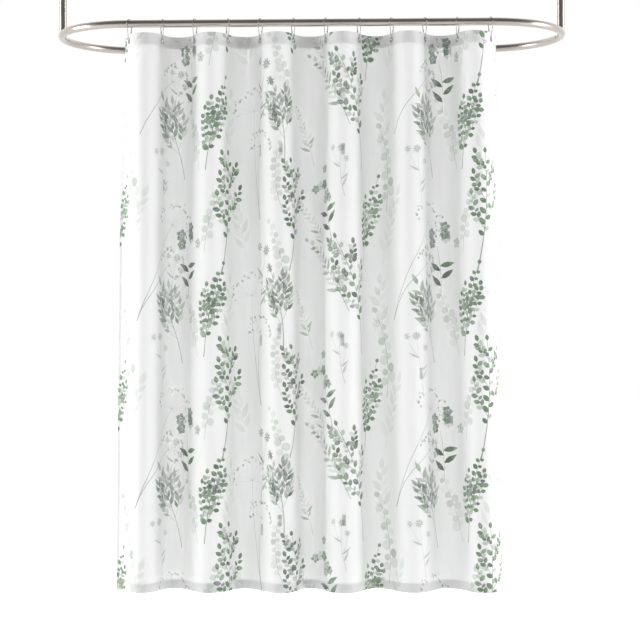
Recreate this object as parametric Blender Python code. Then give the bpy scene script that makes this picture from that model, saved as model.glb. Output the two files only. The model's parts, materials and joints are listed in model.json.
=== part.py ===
"""Shower curtain on an oval ceiling rail: a printed cloth panel on twelve pear-shaped wire hooks.

Frame, in metres: +Z is up, +X runs along the rail from the left post to the right one, and +Y points
to the rear. The origin is the middle of the left flange's top face, where it meets the ceiling.
The cloth hangs from the rail's front run, in a wave that turns at every hook.
"""

import math

import bmesh
import bpy
import numpy as np
from mathutils import Matrix, Vector

# Rail: two bent halves that meet just behind the posts.
POST_SPACING = 1.72  # between the posts' centre lines
RAIL_WIDTH = 0.526  # between the centre lines of the front and rear runs
RAIL_DROP = 0.36  # ceiling to the rail's centre line
TUBE_RADIUS = 0.0127
TUBE_WALL = 0.0012
SEAM_OFFSET = 0.022  # along the rail, from a post's centre line to the seam behind it
GAP = 0.0003  # between faces that touch

# Connector inside each end of the rail, with its spigot up into the post.
CONNECTOR_STEPS = (1, 2)  # bend steps that it reaches behind and in front of the seam
SPIGOT_RADIUS = 0.007
SPIGOT_HEIGHT = 0.050
INSERT_HEIGHT = 0.025
SET_SCREW_RADIUS = 0.0025
SET_SCREW_LENGTH = 0.006
SET_SCREW_OFFSET = 0.012  # along the rail, behind the seam
SET_SCREW_PROUD = 0.0008

# Ceiling flanges and their screws.
FLANGE_RADIUS = 0.032
FLANGE_THICKNESS = 0.004
FLANGE_NECK_WALL = 0.003
FLANGE_NECK_HEIGHT = 0.022
SCREWS_PER_FLANGE = 3
SCREW_CIRCLE_RADIUS = 0.024
SCREW_RADIUS = 0.0022
SCREW_HEAD_RADIUS = 0.004
SCREW_HEAD_HEIGHT = 0.0022

# Hooks: a pear-shaped loop of round wire, wide round the rail and narrow at the cloth.
HOOK_COUNT = 12
HOOK_PITCH = 0.108
WIRE_RADIUS = 0.0013
HOOK_SLACK = 0.00153  # between the turned arch's inside and the tube, to each side
HOOK_SEAT = 0.00055  # between the arch and the top of the tube, so that a hook also clears the bend
HOOK_FOOT_RADIUS = 0.0065
HOOK_CENTRES = 0.047  # between the centres of the arch and the foot
WIRE_SKEW = math.radians(44.8)  # between a hook's wire and its eyelet's axis, seen from above

# Eyelets: a flanged barrel from the front and a washer behind.
EYELET_BORE = 0.0062
EYELET_BARREL_WALL = 0.0006
EYELET_FLANGE_RADIUS = 0.0100
EYELET_FLANGE_THICKNESS = 0.0009
EYELET_CLEARANCE = 0.00102  # above the wire where it leaves the bore, for the wire's own bend

# Cloth, measured flat.
CLOTH_WIDTH = 1.83
CLOTH_HEIGHT = 1.83
CLOTH_THICKNESS = 0.0008
CLOTH_SIDE_MARGIN = 0.040  # side edge to the nearest eyelet
CLOTH_TOP_MARGIN = 0.021  # top edge to the eyelets' centres
CLOTH_FLARE = 0.038  # the hung cloth is this much wider at the foot than at the head
TOP_HEM = 0.040
BOTTOM_HEM = 0.030
SIDE_HEM = 0.012
LAYER_GAP = 0.0004  # between a hem's turned layer and the panel

# Facets.
TUBE_SIDES = 12
BEND_STEPS = 12
WIRE_SIDES = 6
ARCH_STEPS = 8
FOOT_STEPS = 5
ROUND_SIDES = 20
SMALL_SIDES = 12
FOLD_COLUMNS = 2  # columns of cloth between an eyelet's patch and the middle of a fold

# Values that follow from the sizes above.
BEND_RADIUS = RAIL_WIDTH / 2.0
RAIL_Z = -RAIL_DROP
RAIL_FRONT_Y = -RAIL_WIDTH / 2.0
MIDDLE_X = POST_SPACING / 2.0
TUBE_BORE = TUBE_RADIUS - TUBE_WALL
LAYER_STEP = CLOTH_THICKNESS + LAYER_GAP
EYELET_PITCH = (CLOTH_WIDTH - 2.0 * CLOTH_SIDE_MARGIN) / (HOOK_COUNT - 1)
FIRST_HOOK_X = MIDDLE_X - HOOK_PITCH * (HOOK_COUNT - 1) / 2.0
EYELET_HOLE = EYELET_BORE + EYELET_BARREL_WALL + GAP
EYELET_BACK = (LAYER_STEP + CLOTH_THICKNESS) / 2.0 + GAP  # surface between the layers to a washer
EYELET_PATCH = EYELET_HOLE + 0.004  # half side of the square of cloth round a hole


def material(name, colour, roughness, metallic):
    """A plain Principled material."""
    made = bpy.data.materials.new(name)
    made.use_nodes = True
    shader = made.node_tree.nodes["Principled BSDF"]
    shader.inputs["Base Color"].default_value = (*colour, 1.0)
    shader.inputs["Roughness"].default_value = roughness
    shader.inputs["Metallic"].default_value = metallic
    return made


def smooth_mesh(name, shape, finish, sharp_angle=40.0):
    """A mesh made from a bmesh, with one material and smooth round faces."""
    mesh = bpy.data.meshes.new(name)
    bmesh.ops.recalc_face_normals(shape, faces=shape.faces)
    shape.to_mesh(mesh)
    shape.free()
    mesh.materials.append(finish)
    mesh.shade_smooth()
    mesh.set_sharp_from_angle(angle=math.radians(sharp_angle))
    return mesh


def placed(name, mesh, parent, place=Matrix.Identity(4)):
    """A named object at a world placement, held by a parent."""
    made = bpy.data.objects.new(name, mesh)
    bpy.context.scene.collection.objects.link(made)
    made.parent = parent
    made.matrix_parent_inverse = parent.matrix_basis.inverted()
    made.matrix_basis = place
    return made


def holder(name, point):
    """An empty that pieces hang from."""
    made = bpy.data.objects.new(name, None)
    bpy.context.scene.collection.objects.link(made)
    made.location = point
    return made


def cutter(name, shape):
    """A hidden helper for a Boolean."""
    mesh = bpy.data.meshes.new(name)
    bmesh.ops.recalc_face_normals(shape, faces=shape.faces)
    shape.to_mesh(mesh)
    shape.free()
    made = bpy.data.objects.new(name, mesh)
    made.hide_render = True
    made.display_type = "WIRE"
    bpy.context.scene.collection.objects.link(made)
    return made


def boolean(target, operation, other):
    """Adds an exact Boolean to the target."""
    step = target.modifiers.new(other.name, "BOOLEAN")
    step.operation = operation
    step.solver = "EXACT"
    step.object = other


def ring_points(centre, across, up, radius, sides):
    """Points of a circle in the plane of two unit vectors."""
    turns = [2.0 * math.pi * i / sides for i in range(sides)]
    return [centre + radius * (math.cos(a) * across + math.sin(a) * up) for a in turns]


def swept_tube(path, radius, bore, sides, closed=False):
    """A round tube, or a rod where bore is 0, along a path with one (centre, across, up) per step."""
    shape = bmesh.new()
    outer = [[shape.verts.new(p) for p in ring_points(*step, radius, sides)] for step in path]
    inner = []
    if bore:
        inner = [[shape.verts.new(p) for p in ring_points(*step, bore, sides)] for step in path]
    last = len(path) if closed else len(path) - 1
    for rings in filter(None, (outer, inner)):
        for i in range(last):
            here, there = rings[i], rings[(i + 1) % len(path)]
            for j in range(sides):
                k = (j + 1) % sides
                shape.faces.new((here[j], here[k], there[k], there[j]))
    if not closed:
        for end in (0, -1):
            if bore:
                for j in range(sides):
                    k = (j + 1) % sides
                    shape.faces.new((outer[end][j], outer[end][k], inner[end][k], inner[end][j]))
            else:
                shape.faces.new(outer[end])
    return shape


def turned(profile, sides):
    """A solid of revolution about Z from (radius, z) points. Radius 0 closes an end."""
    shape = bmesh.new()
    rings = []
    for radius, z in profile:
        if radius == 0.0:
            rings.append([shape.verts.new((0.0, 0.0, z))])
            continue
        turns = [2.0 * math.pi * i / sides for i in range(sides)]
        rings.append([shape.verts.new((radius * math.cos(a), radius * math.sin(a), z)) for a in turns])
    whole = profile[0][0] > 0.0
    pairs = zip(rings, rings[1:] + rings[:1]) if whole else zip(rings, rings[1:])
    for here, there in pairs:
        for j in range(sides):
            k = (j + 1) % sides
            if len(here) == 1:
                shape.faces.new((here[0], there[j], there[k]))
            elif len(there) == 1:
                shape.faces.new((here[j], here[k], there[0]))
            else:
                shape.faces.new((here[j], here[k], there[k], there[j]))
    return shape


def rod(start, end, radius, sides):
    """A plain cylinder between two points."""
    along = (end - start).normalized()
    across = along.orthogonal().normalized()
    up = along.cross(across)
    return swept_tube([(start, across, up), (end, across, up)], radius, 0.0, sides)


def upright(x, low, high, radius, bore=0.0):
    """A vertical tube or rod over the rail's end, with the same sides as the rail's tube."""
    across, up = Vector((1.0, 0.0, 0.0)), Vector((0.0, 1.0, 0.0))
    steps = [(Vector((x, 0.0, z)), across, up) for z in (low, high)]
    return swept_tube(steps, radius, bore, TUBE_SIDES)


def post_x(side):
    """A post's centre line, left for -1 and right for 1."""
    return MIDDLE_X + side * MIDDLE_X


# Rail


def bend_step(side, angle):
    """The rail's centre line on one end bend: angle 0 is over the post, positive towards the front."""
    across = Vector((side * math.cos(angle), -math.sin(angle), 0.0))
    centre = Vector((MIDDLE_X + side * (MIDDLE_X - BEND_RADIUS), 0.0, RAIL_Z)) + BEND_RADIUS * across
    return centre, across, Vector((0.0, 0.0, 1.0))


def bend(side, seam_angle, forward):
    """Steps of the centre line on one end bend, from the seam to the front or rear straight run."""
    corner = math.pi / 2.0 if forward else -math.pi / 2.0
    one = (corner - seam_angle) / BEND_STEPS
    return [bend_step(side, seam_angle + one * i) for i in range(BEND_STEPS + 1)]


def rail_half(name, seam_angle, forward, finish, frame):
    """One half of the rail: a straight run between two quarter bends, open at both ends."""
    path = bend(-1, seam_angle, forward) + bend(1, seam_angle, forward)[::-1]
    tube = swept_tube(path, TUBE_RADIUS, TUBE_BORE, TUBE_SIDES)
    return placed(name, smooth_mesh(name, tube, finish), frame)


def rail(finish, dark, frame):
    """Both halves of the rail, with the connectors, set screws, posts, inserts and flanges."""
    seam = -SEAM_OFFSET / BEND_RADIUS
    front = rail_half("rail_front_half", seam, True, finish, frame)
    rear = rail_half("rail_rear_half", seam - GAP / BEND_RADIUS, False, finish, frame)
    for side, word in ((-1, "left"), (1, "right")):
        connector(side, word, seam, finish, frame)
        post(side, word, seam, finish, frame)
        flange(side, word, finish, dark, frame)
        set_screw(side, word, seam, dark, frame)
        above = RAIL_Z + 2.0 * TUBE_RADIUS
        hole = cutter("spigot_hole_" + word, upright(post_x(side), RAIL_Z, above, SPIGOT_RADIUS + GAP))
        boolean(front, "DIFFERENCE", hole)
        boolean(rear, "DIFFERENCE", set_screw_hole("set_screw_hole_" + word, side, seam, 4.0 * TUBE_WALL))


def connector(side, word, seam, finish, frame):
    """The plug that joins the two halves from inside, with the upright spigot that the post sits on."""
    behind, ahead = CONNECTOR_STEPS
    path = bend(side, seam, False)[behind:0:-1] + bend(side, seam, True)[: ahead + 1]
    name = "rail_connector_" + word
    plug = swept_tube(path, TUBE_BORE - GAP, 0.0, TUBE_SIDES)
    body = placed(name, smooth_mesh(name, plug, finish), frame)
    spigot = cutter("spigot_" + word, upright(post_x(side), RAIL_Z, RAIL_Z + SPIGOT_HEIGHT, SPIGOT_RADIUS))
    boolean(body, "UNION", spigot)
    deep = SET_SCREW_LENGTH + GAP
    boolean(body, "DIFFERENCE", set_screw_hole("set_screw_pocket_" + word, side, seam, deep))


def set_screw_place(side, seam):
    """The outer end of a set screw on the rail's inner side, and the direction into the tube."""
    centre, across, _ = bend_step(side, seam - SET_SCREW_OFFSET / BEND_RADIUS)
    return centre - (TUBE_RADIUS + SET_SCREW_PROUD) * across, across


def set_screw_hole(name, side, seam, depth):
    """A cutter for a set screw's hole, to one depth below the screw's outer end."""
    start, inward = set_screw_place(side, seam)
    shape = rod(start - depth * inward, start + depth * inward, SET_SCREW_RADIUS + GAP, SMALL_SIDES)
    return cutter(name, shape)


def set_screw(side, word, seam, finish, frame):
    """A headless screw that locks the rear half on its connector."""
    start, inward = set_screw_place(side, seam)
    shape = rod(start, start + SET_SCREW_LENGTH * inward, SET_SCREW_RADIUS, SMALL_SIDES)
    name = "set_screw_" + word
    placed(name, smooth_mesh(name, shape, finish), frame)


def post(side, word, seam, finish, frame):
    """A ceiling post, coped to sit on the rail, and the insert in its foot that takes the spigot."""
    x = post_x(side)
    shape = upright(x, RAIL_Z, -FLANGE_THICKNESS - GAP, TUBE_RADIUS, TUBE_BORE)
    name = "ceiling_post_" + word
    tube = placed(name, smooth_mesh(name, shape, finish), frame)
    seat = bend(side, seam, True)[: BEND_STEPS // 2]
    saddle = cutter("post_saddle_" + word, swept_tube(seat, TUBE_RADIUS + GAP, 0.0, TUBE_SIDES))
    boolean(tube, "DIFFERENCE", saddle)
    low = RAIL_Z + TUBE_RADIUS + 2.0 * GAP
    shape = upright(x, low, low + INSERT_HEIGHT, TUBE_BORE - GAP, SPIGOT_RADIUS + GAP)
    name = "post_insert_" + word
    placed(name, smooth_mesh(name, shape, finish), frame)


def flange(side, word, finish, dark, frame):
    """A round ceiling flange with a blind socket for the post, and its screws."""
    x = post_x(side)
    neck = TUBE_RADIUS + GAP + FLANGE_NECK_WALL
    foot = -FLANGE_THICKNESS - FLANGE_NECK_HEIGHT
    rim = FLANGE_THICKNESS / 4.0
    profile = [
        (0.0, 0.0),
        (FLANGE_RADIUS, 0.0),
        (FLANGE_RADIUS, -FLANGE_THICKNESS + rim),
        (FLANGE_RADIUS - rim, -FLANGE_THICKNESS),
        (neck + rim, -FLANGE_THICKNESS),
        (neck, -FLANGE_THICKNESS - rim),
        (neck, foot),
        (TUBE_RADIUS + GAP, foot),
        (TUBE_RADIUS + GAP, -FLANGE_THICKNESS),
        (0.0, -FLANGE_THICKNESS),
    ]
    name = "ceiling_flange_" + word
    shape = turned(profile, ROUND_SIDES)
    body = placed(name, smooth_mesh(name, shape, finish), frame, Matrix.Translation((x, 0.0, 0.0)))
    under = -FLANGE_THICKNESS - GAP
    head = under - SCREW_HEAD_HEIGHT
    screw = [
        (0.0, -GAP),
        (SCREW_RADIUS, -GAP),
        (SCREW_RADIUS, under),
        (SCREW_HEAD_RADIUS, under),
        (SCREW_HEAD_RADIUS, under - 0.4 * SCREW_HEAD_HEIGHT),
        (0.6 * SCREW_HEAD_RADIUS, head),
        (0.0, head),
    ]
    screw_mesh = smooth_mesh("flange_screw_" + word, turned(screw, SMALL_SIDES), dark)
    for i in range(SCREWS_PER_FLANGE):
        turn = math.pi / 2.0 + 2.0 * math.pi * i / SCREWS_PER_FLANGE
        spot = Vector((x + SCREW_CIRCLE_RADIUS * math.cos(turn), SCREW_CIRCLE_RADIUS * math.sin(turn), 0.0))
        tall = Vector((0.0, 0.0, 2.0 * FLANGE_THICKNESS))
        name = f"flange_screw_{word}_{i + 1}"
        hole = rod(spot - tall, spot + tall, SCREW_RADIUS + GAP, SMALL_SIDES)
        boolean(body, "DIFFERENCE", cutter(name + "_hole", hole))
        placed(name, screw_mesh, frame, Matrix.Translation(spot))


# Cloth


def fold_angle(ratio):
    """The steepest angle of a fold whose hung width is this share of its flat width."""
    phase = math.pi * (np.arange(180) + 0.5) / 180
    low, high = 0.0, 0.75 * math.pi
    for _ in range(40):
        middle = (low + high) / 2.0
        if np.mean(np.cos(middle * np.cos(phase))) > ratio:
            low = middle
        else:
            high = middle
    return low


def cloth_row(across, down):
    """Points and rear-facing normals of the surface between the panel and its hems, at flat distances
    from the left edge, for one distance down from the top. Lengths along the row are the flat ones."""
    below = max(0.0, down - TOP_HEM) / (CLOTH_HEIGHT - TOP_HEM)
    spread = 1.0 + CLOTH_FLARE * below
    steepest = fold_angle(HOOK_PITCH * spread / EYELET_PITCH)
    fine = np.linspace(0.0, CLOTH_WIDTH, 3661)
    slope = -steepest * np.cos(math.pi * (fine - CLOTH_SIDE_MARGIN) / EYELET_PITCH)

    def travel(rate):
        steps = np.concatenate([[0.0], (rate[1:] + rate[:-1]) / 2.0 * np.diff(fine)])
        total = np.cumsum(steps)
        return total, np.interp(CLOTH_SIDE_MARGIN, fine, total)

    forward, first = travel(np.cos(slope))
    sideways, start = travel(np.sin(slope))
    x = MIDDLE_X + spread * (FIRST_HOOK_X - MIDDLE_X) + np.interp(across, fine, forward - first)
    y = RAIL_FRONT_Y + np.interp(across, fine, sideways - start)
    angle = np.interp(across, fine, slope)
    return [
        (Vector((a, b, cloth_top() - down)), Vector((-math.sin(c), math.cos(c), 0.0)))
        for a, b, c in zip(x, y, angle)
    ]


def cloth_top():
    """Height of the cloth's top edge. The wire crosses each bore askew, so it hangs where it clears the
    bore's ends."""
    foot = hook_arch_z() - HOOK_CENTRES - HOOK_FOOT_RADIUS
    end = EYELET_BACK + EYELET_FLANGE_THICKNESS
    aside = end * math.tan(WIRE_SKEW) + WIRE_RADIUS / math.cos(WIRE_SKEW)
    hang = math.sqrt(EYELET_BORE**2 - aside**2) - WIRE_RADIUS - EYELET_CLEARANCE
    return foot - hang + CLOTH_TOP_MARGIN


def eyelet_place(index):
    """Where an eyelet's axis crosses the surface between the layers, with the tangent and rear normal."""
    centre, normal = cloth_row([CLOTH_SIDE_MARGIN + index * EYELET_PITCH], CLOTH_TOP_MARGIN)[0]
    return centre, Vector((normal.y, -normal.x, 0.0)), normal


def cloth_columns():
    """Flat distances of the cloth's columns: three at each eyelet, and even steps between."""
    columns = {0.0, CLOTH_WIDTH, SIDE_HEM, CLOTH_WIDTH - SIDE_HEM}
    for i in range(HOOK_COUNT):
        centre = CLOTH_SIDE_MARGIN + i * EYELET_PITCH
        columns.update((centre - EYELET_PATCH, centre, centre + EYELET_PATCH))
        if i == HOOK_COUNT - 1:
            continue
        start, end = centre + EYELET_PATCH, centre + EYELET_PITCH - EYELET_PATCH
        steps = 2 * FOLD_COLUMNS
        columns.update(start + (end - start) * j / steps for j in range(1, steps))
    return sorted(columns)


def cloth_layer(name, left, right, rows, offset, finish, swing, holes=False):
    """One layer of cloth between two columns, as a thin solid at an offset towards the rear."""
    columns = [c for c in cloth_columns() if left - 1e-9 <= c <= right + 1e-9]
    shape = bmesh.new()
    grid = []
    for down in rows:
        grid.append([shape.verts.new(p + offset * n - swing.location) for p, n in cloth_row(columns, down)])
    skipped = set()
    if holes:
        middle = rows.index(CLOTH_TOP_MARGIN)
        for i in range(HOOK_COUNT):
            centre = CLOTH_SIDE_MARGIN + i * EYELET_PITCH
            column = min(range(len(columns)), key=lambda c: abs(columns[c] - centre))
            skipped.update((middle - 1 + a, column - 1 + b) for a in (0, 1) for b in (0, 1))
            eyelet_patch(shape, grid, middle, column, i, offset, swing.location)
    for r in range(len(rows) - 1):
        for c in range(len(columns) - 1):
            if (r, c) not in skipped:
                shape.faces.new((grid[r][c], grid[r + 1][c], grid[r + 1][c + 1], grid[r][c + 1]))
    for lone in [v for v in shape.verts if not v.link_faces]:
        shape.verts.remove(lone)
    made = placed(name, smooth_mesh(name, shape, finish), swing, swing.matrix_basis)
    thick = made.modifiers.new("thickness", "SOLIDIFY")
    thick.thickness = CLOTH_THICKNESS
    thick.offset = 0.0
    thick.use_even_offset = True
    return made


def eyelet_patch(shape, grid, row, column, index, offset, origin):
    """Eight faces between a square of the grid and an eyelet's round hole."""
    centre, tangent, normal = eyelet_place(index)
    centre = centre + offset * normal - origin
    down = Vector((0.0, 0.0, -1.0))
    steps = ((0, 1), (1, 1), (1, 0), (1, -1), (0, -1), (-1, -1), (-1, 0), (-1, 1))
    edge = [grid[row + a][column + b] for a, b in steps]
    corner = EYELET_HOLE / math.cos(math.pi / len(steps))
    hole = [shape.verts.new(p) for p in ring_points(centre, tangent, down, corner, len(steps))]
    for i in range(len(steps)):
        j = (i + 1) % len(steps)
        shape.faces.new((edge[i], hole[i], hole[j], edge[j]))


def curtain(finish, swing):
    """The cloth panel and the turned layers of its four hems, which lie behind it. The cloth's objects
    have their origin on the rail's front run, which the cloth swings about."""
    foot = CLOTH_HEIGHT - BOTTOM_HEM
    head = [0.0, CLOTH_TOP_MARGIN - EYELET_PATCH, CLOTH_TOP_MARGIN, CLOTH_TOP_MARGIN + EYELET_PATCH, TOP_HEM]
    body = [TOP_HEM + (foot - TOP_HEM) * i / 4.0 for i in range(1, 4)]
    rows = head + body + [foot, CLOTH_HEIGHT]
    sides = [TOP_HEM + GAP] + body + [foot - GAP]
    right = CLOTH_WIDTH - SIDE_HEM
    behind = LAYER_STEP / 2.0
    cloth_layer("curtain_panel", 0.0, CLOTH_WIDTH, rows, -behind, finish, swing, holes=True)
    cloth_layer("top_hem", 0.0, CLOTH_WIDTH, head, behind, finish, swing, holes=True)
    cloth_layer("bottom_hem", 0.0, CLOTH_WIDTH, [foot, CLOTH_HEIGHT], behind, finish, swing)
    cloth_layer("side_hem_left", 0.0, SIDE_HEM, sides, behind, finish, swing)
    cloth_layer("side_hem_right", right, CLOTH_WIDTH, sides, behind, finish, swing)


# Hooks and eyelets


def hook_turn():
    """How far each hook turns towards the cloth at its eyelet, left and right by turns."""
    return fold_angle(HOOK_PITCH / EYELET_PITCH) - WIRE_SKEW


def hook_arch_radius():
    """The arch's radius: the turned arch goes round the tube with the same slack at any turn."""
    return (TUBE_RADIUS + WIRE_RADIUS + HOOK_SLACK) / math.cos(hook_turn())


def hook_arch_z():
    """Height of the arch's centre that seats the turned wire on the rail with its own gap."""
    clear = TUBE_RADIUS + HOOK_SEAT + WIRE_RADIUS
    yaw = math.cos(hook_turn())
    radius = hook_arch_radius()
    heights = []
    for i in range(91):
        turn = math.radians(i)
        side = radius * math.sin(turn) * yaw
        if side < clear:
            heights.append(math.sqrt(clear**2 - side**2) - radius * math.cos(turn))
    # The facets of the wire's path cut inside its curve by this much.
    chord = radius * (1.0 - math.cos(math.pi / (2.0 * ARCH_STEPS)))
    return RAIL_Z + max(heights) + chord


def hook_mesh(finish):
    """A pear-shaped loop of wire in the YZ plane, with its origin at the arch's centre."""
    lean = math.asin((hook_arch_radius() - HOOK_FOOT_RADIUS) / HOOK_CENTRES)
    flat, aside, up = Vector((1.0, 0.0, 0.0)), Vector((0.0, 1.0, 0.0)), Vector((0.0, 0.0, 1.0))
    arcs = (
        (0.0, hook_arch_radius(), -lean, math.pi + lean, ARCH_STEPS),
        (-HOOK_CENTRES, HOOK_FOOT_RADIUS, math.pi + lean, 2.0 * math.pi - lean, FOOT_STEPS),
    )
    path = []
    for z, radius, start, end, steps in arcs:
        for i in range(steps + 1):
            angle = start + (end - start) * i / steps
            out = math.cos(angle) * aside + math.sin(angle) * up
            path.append((z * up + radius * out, out, flat))
    return smooth_mesh("hook", swept_tube(path, WIRE_RADIUS, 0.0, WIRE_SIDES, closed=True), finish, 80.0)


def eyelet_meshes(finish):
    """The flanged front of an eyelet, whose barrel goes through both layers, and its rear washer. Both
    are turned about Z, which points to the rear, with the origin midway between the layers."""
    barrel = EYELET_BORE + EYELET_BARREL_WALL
    back = EYELET_BACK
    front = -back
    thick = EYELET_FLANGE_THICKNESS
    profile = [
        (EYELET_BORE, front - thick / 2.0),
        (EYELET_BORE + thick / 2.0, front - thick),
        (EYELET_FLANGE_RADIUS - thick / 2.0, front - thick),
        (EYELET_FLANGE_RADIUS, front - thick / 2.0),
        (EYELET_FLANGE_RADIUS, front),
        (barrel, front),
        (barrel, back + thick),
        (EYELET_BORE, back + thick),
    ]
    washer = [
        (barrel + GAP, back),
        (EYELET_FLANGE_RADIUS, back),
        (EYELET_FLANGE_RADIUS, back + thick / 2.0),
        (EYELET_FLANGE_RADIUS - thick / 2.0, back + thick),
        (barrel + GAP, back + thick),
    ]
    shapes = (("eyelet", profile), ("eyelet_washer", washer))
    return [(name, smooth_mesh(name, turned(points, SMALL_SIDES), finish)) for name, points in shapes]


def hooks(wire, silver, swing):
    """All the hooks on the rail's front run, each with its eyelet in the cloth."""
    loop = hook_mesh(wire)
    rings = eyelet_meshes(silver)
    for index in range(HOOK_COUNT):
        turn = hook_turn() if index % 2 == 0 else -hook_turn()
        spot = Vector((FIRST_HOOK_X + index * HOOK_PITCH, RAIL_FRONT_Y, hook_arch_z()))
        number = f"_{index + 1:02d}"
        placed("hook" + number, loop, swing, Matrix.Translation(spot) @ Matrix.Rotation(-turn, 4, "Z"))
        centre, tangent, normal = eyelet_place(index)
        axes = Matrix((tangent, normal.cross(tangent), normal)).transposed().to_4x4()
        for name, mesh in rings:
            placed(name + number, mesh, swing, Matrix.Translation(centre) @ axes)


def main():
    for old in list(bpy.data.objects):
        bpy.data.objects.remove(old)
    nickel = material("brushed_nickel", (0.42, 0.39, 0.36), 0.24, 1.0)
    dark = material("dark_steel", (0.10, 0.095, 0.09), 0.4, 1.0)
    wire = material("polished_wire", (0.62, 0.60, 0.57), 0.18, 1.0)
    silver = material("eyelet_metal", (0.72, 0.72, 0.71), 0.25, 1.0)
    cloth = material("printed_polyester", (0.90, 0.91, 0.90), 0.85, 0.0)
    rail(nickel, dark, holder("rail_frame", (0.0, 0.0, 0.0)))
    swing = holder("curtain_swing", (MIDDLE_X, RAIL_FRONT_Y, RAIL_Z))
    curtain(cloth, swing)
    hooks(wire, silver, swing)


main()
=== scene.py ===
"""Looks for the shower curtain: a printed cloth in even folds, on wire hooks, on an oval ceiling rail.

Every size is in metres, in the model's own frame: +Z up, +X along the rail, +Y to the rear, with the
origin in the middle of the left flange's top face.
"""

from __future__ import annotations

import json
import logging
import math
import random
from collections import defaultdict
from collections.abc import Callable, Iterable, Sequence
from dataclasses import dataclass, field
from enum import Enum

import bpy
import numpy as np
from mathutils import Matrix, Vector
from mathutils.geometry import delaunay_2d_cdt

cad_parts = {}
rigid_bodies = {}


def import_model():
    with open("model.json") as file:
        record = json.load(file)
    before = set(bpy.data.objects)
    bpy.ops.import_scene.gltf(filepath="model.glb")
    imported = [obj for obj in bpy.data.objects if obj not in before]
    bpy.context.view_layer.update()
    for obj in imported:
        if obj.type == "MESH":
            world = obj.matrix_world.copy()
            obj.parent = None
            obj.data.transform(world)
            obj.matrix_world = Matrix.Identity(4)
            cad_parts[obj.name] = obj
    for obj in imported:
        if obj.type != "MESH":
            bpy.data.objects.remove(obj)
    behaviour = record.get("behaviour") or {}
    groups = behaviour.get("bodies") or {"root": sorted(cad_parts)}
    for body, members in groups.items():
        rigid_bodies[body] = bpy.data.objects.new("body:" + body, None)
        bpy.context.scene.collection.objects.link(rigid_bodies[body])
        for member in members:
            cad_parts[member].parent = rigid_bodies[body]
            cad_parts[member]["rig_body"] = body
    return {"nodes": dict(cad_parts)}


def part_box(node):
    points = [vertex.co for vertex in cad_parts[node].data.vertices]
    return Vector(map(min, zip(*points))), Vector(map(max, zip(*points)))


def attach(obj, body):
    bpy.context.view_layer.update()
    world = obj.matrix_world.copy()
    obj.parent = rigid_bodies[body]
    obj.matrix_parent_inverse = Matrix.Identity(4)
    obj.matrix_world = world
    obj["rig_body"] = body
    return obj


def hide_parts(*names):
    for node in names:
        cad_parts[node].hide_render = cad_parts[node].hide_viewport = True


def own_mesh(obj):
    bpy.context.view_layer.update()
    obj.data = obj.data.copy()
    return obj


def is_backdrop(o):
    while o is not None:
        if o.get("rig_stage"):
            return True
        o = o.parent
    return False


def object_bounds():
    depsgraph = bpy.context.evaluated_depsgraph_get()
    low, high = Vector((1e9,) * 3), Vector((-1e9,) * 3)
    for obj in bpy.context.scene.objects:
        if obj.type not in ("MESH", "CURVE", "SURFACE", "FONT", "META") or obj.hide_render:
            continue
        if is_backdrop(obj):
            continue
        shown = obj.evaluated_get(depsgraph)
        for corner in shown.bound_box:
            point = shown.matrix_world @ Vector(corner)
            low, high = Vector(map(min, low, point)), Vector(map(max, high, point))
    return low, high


log = logging.getLogger("shower_curtain")

Colour = tuple[float, float, float]
Point = tuple[float, float]
Hole = tuple[float, float, float]
Number = "float | Socket"
Material = bpy.types.Material
Object = bpy.types.Object

UP = Vector((0.0, 0.0, 1.0))


# Shader graphs


class Socket:
    """One value of a shader graph, whose operators add Math nodes."""

    def __init__(self, graph: Graph, link: bpy.types.NodeSocket) -> None:
        """Wraps a node's output.

        Args:
            graph: The graph that the socket belongs to.
            link: The node's output socket.
        """
        self.graph = graph
        self.link = link

    def maths(self, operation: str, *others: Number, first: Number | None = None) -> Socket:
        """Adds a Math node.

        Args:
            operation: The Math node's operation.
            others: Its further values.
            first: A value that goes before this socket, for reflected operators.

        Returns:
            The node's result.
        """
        values = [self, *others] if first is None else [first, self, *others]
        return self.graph.add("ShaderNodeMath", {"operation": operation}, dict(enumerate(values)))

    def __add__(self, other: Number) -> Socket:
        """self + other."""
        return self.maths("ADD", other)

    def __radd__(self, other: Number) -> Socket:
        """other + self."""
        return self.maths("ADD", first=other)

    def __sub__(self, other: Number) -> Socket:
        """self - other."""
        return self.maths("SUBTRACT", other)

    def __rsub__(self, other: Number) -> Socket:
        """other - self."""
        return self.maths("SUBTRACT", first=other)

    def __mul__(self, other: Number) -> Socket:
        """self * other."""
        return self.maths("MULTIPLY", other)

    def __pow__(self, other: Number) -> Socket:
        """self to a power."""
        return self.maths("POWER", other)

    def sine(self) -> Socket:
        """The sine of the value."""
        return self.maths("SINE")

    def lowest(self, other: Number) -> Socket:
        """The lower of two values."""
        return self.maths("MINIMUM", other)

    def step(self, low: float, high: float) -> Socket:
        """A smooth rise from 0 at one value to 1 at another."""
        settings = {"interpolation_type": "SMOOTHSTEP"}
        return self.graph.add("ShaderNodeMapRange", settings, {0: self, 1: low, 2: high, 3: 0.0, 4: 1.0})


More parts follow.
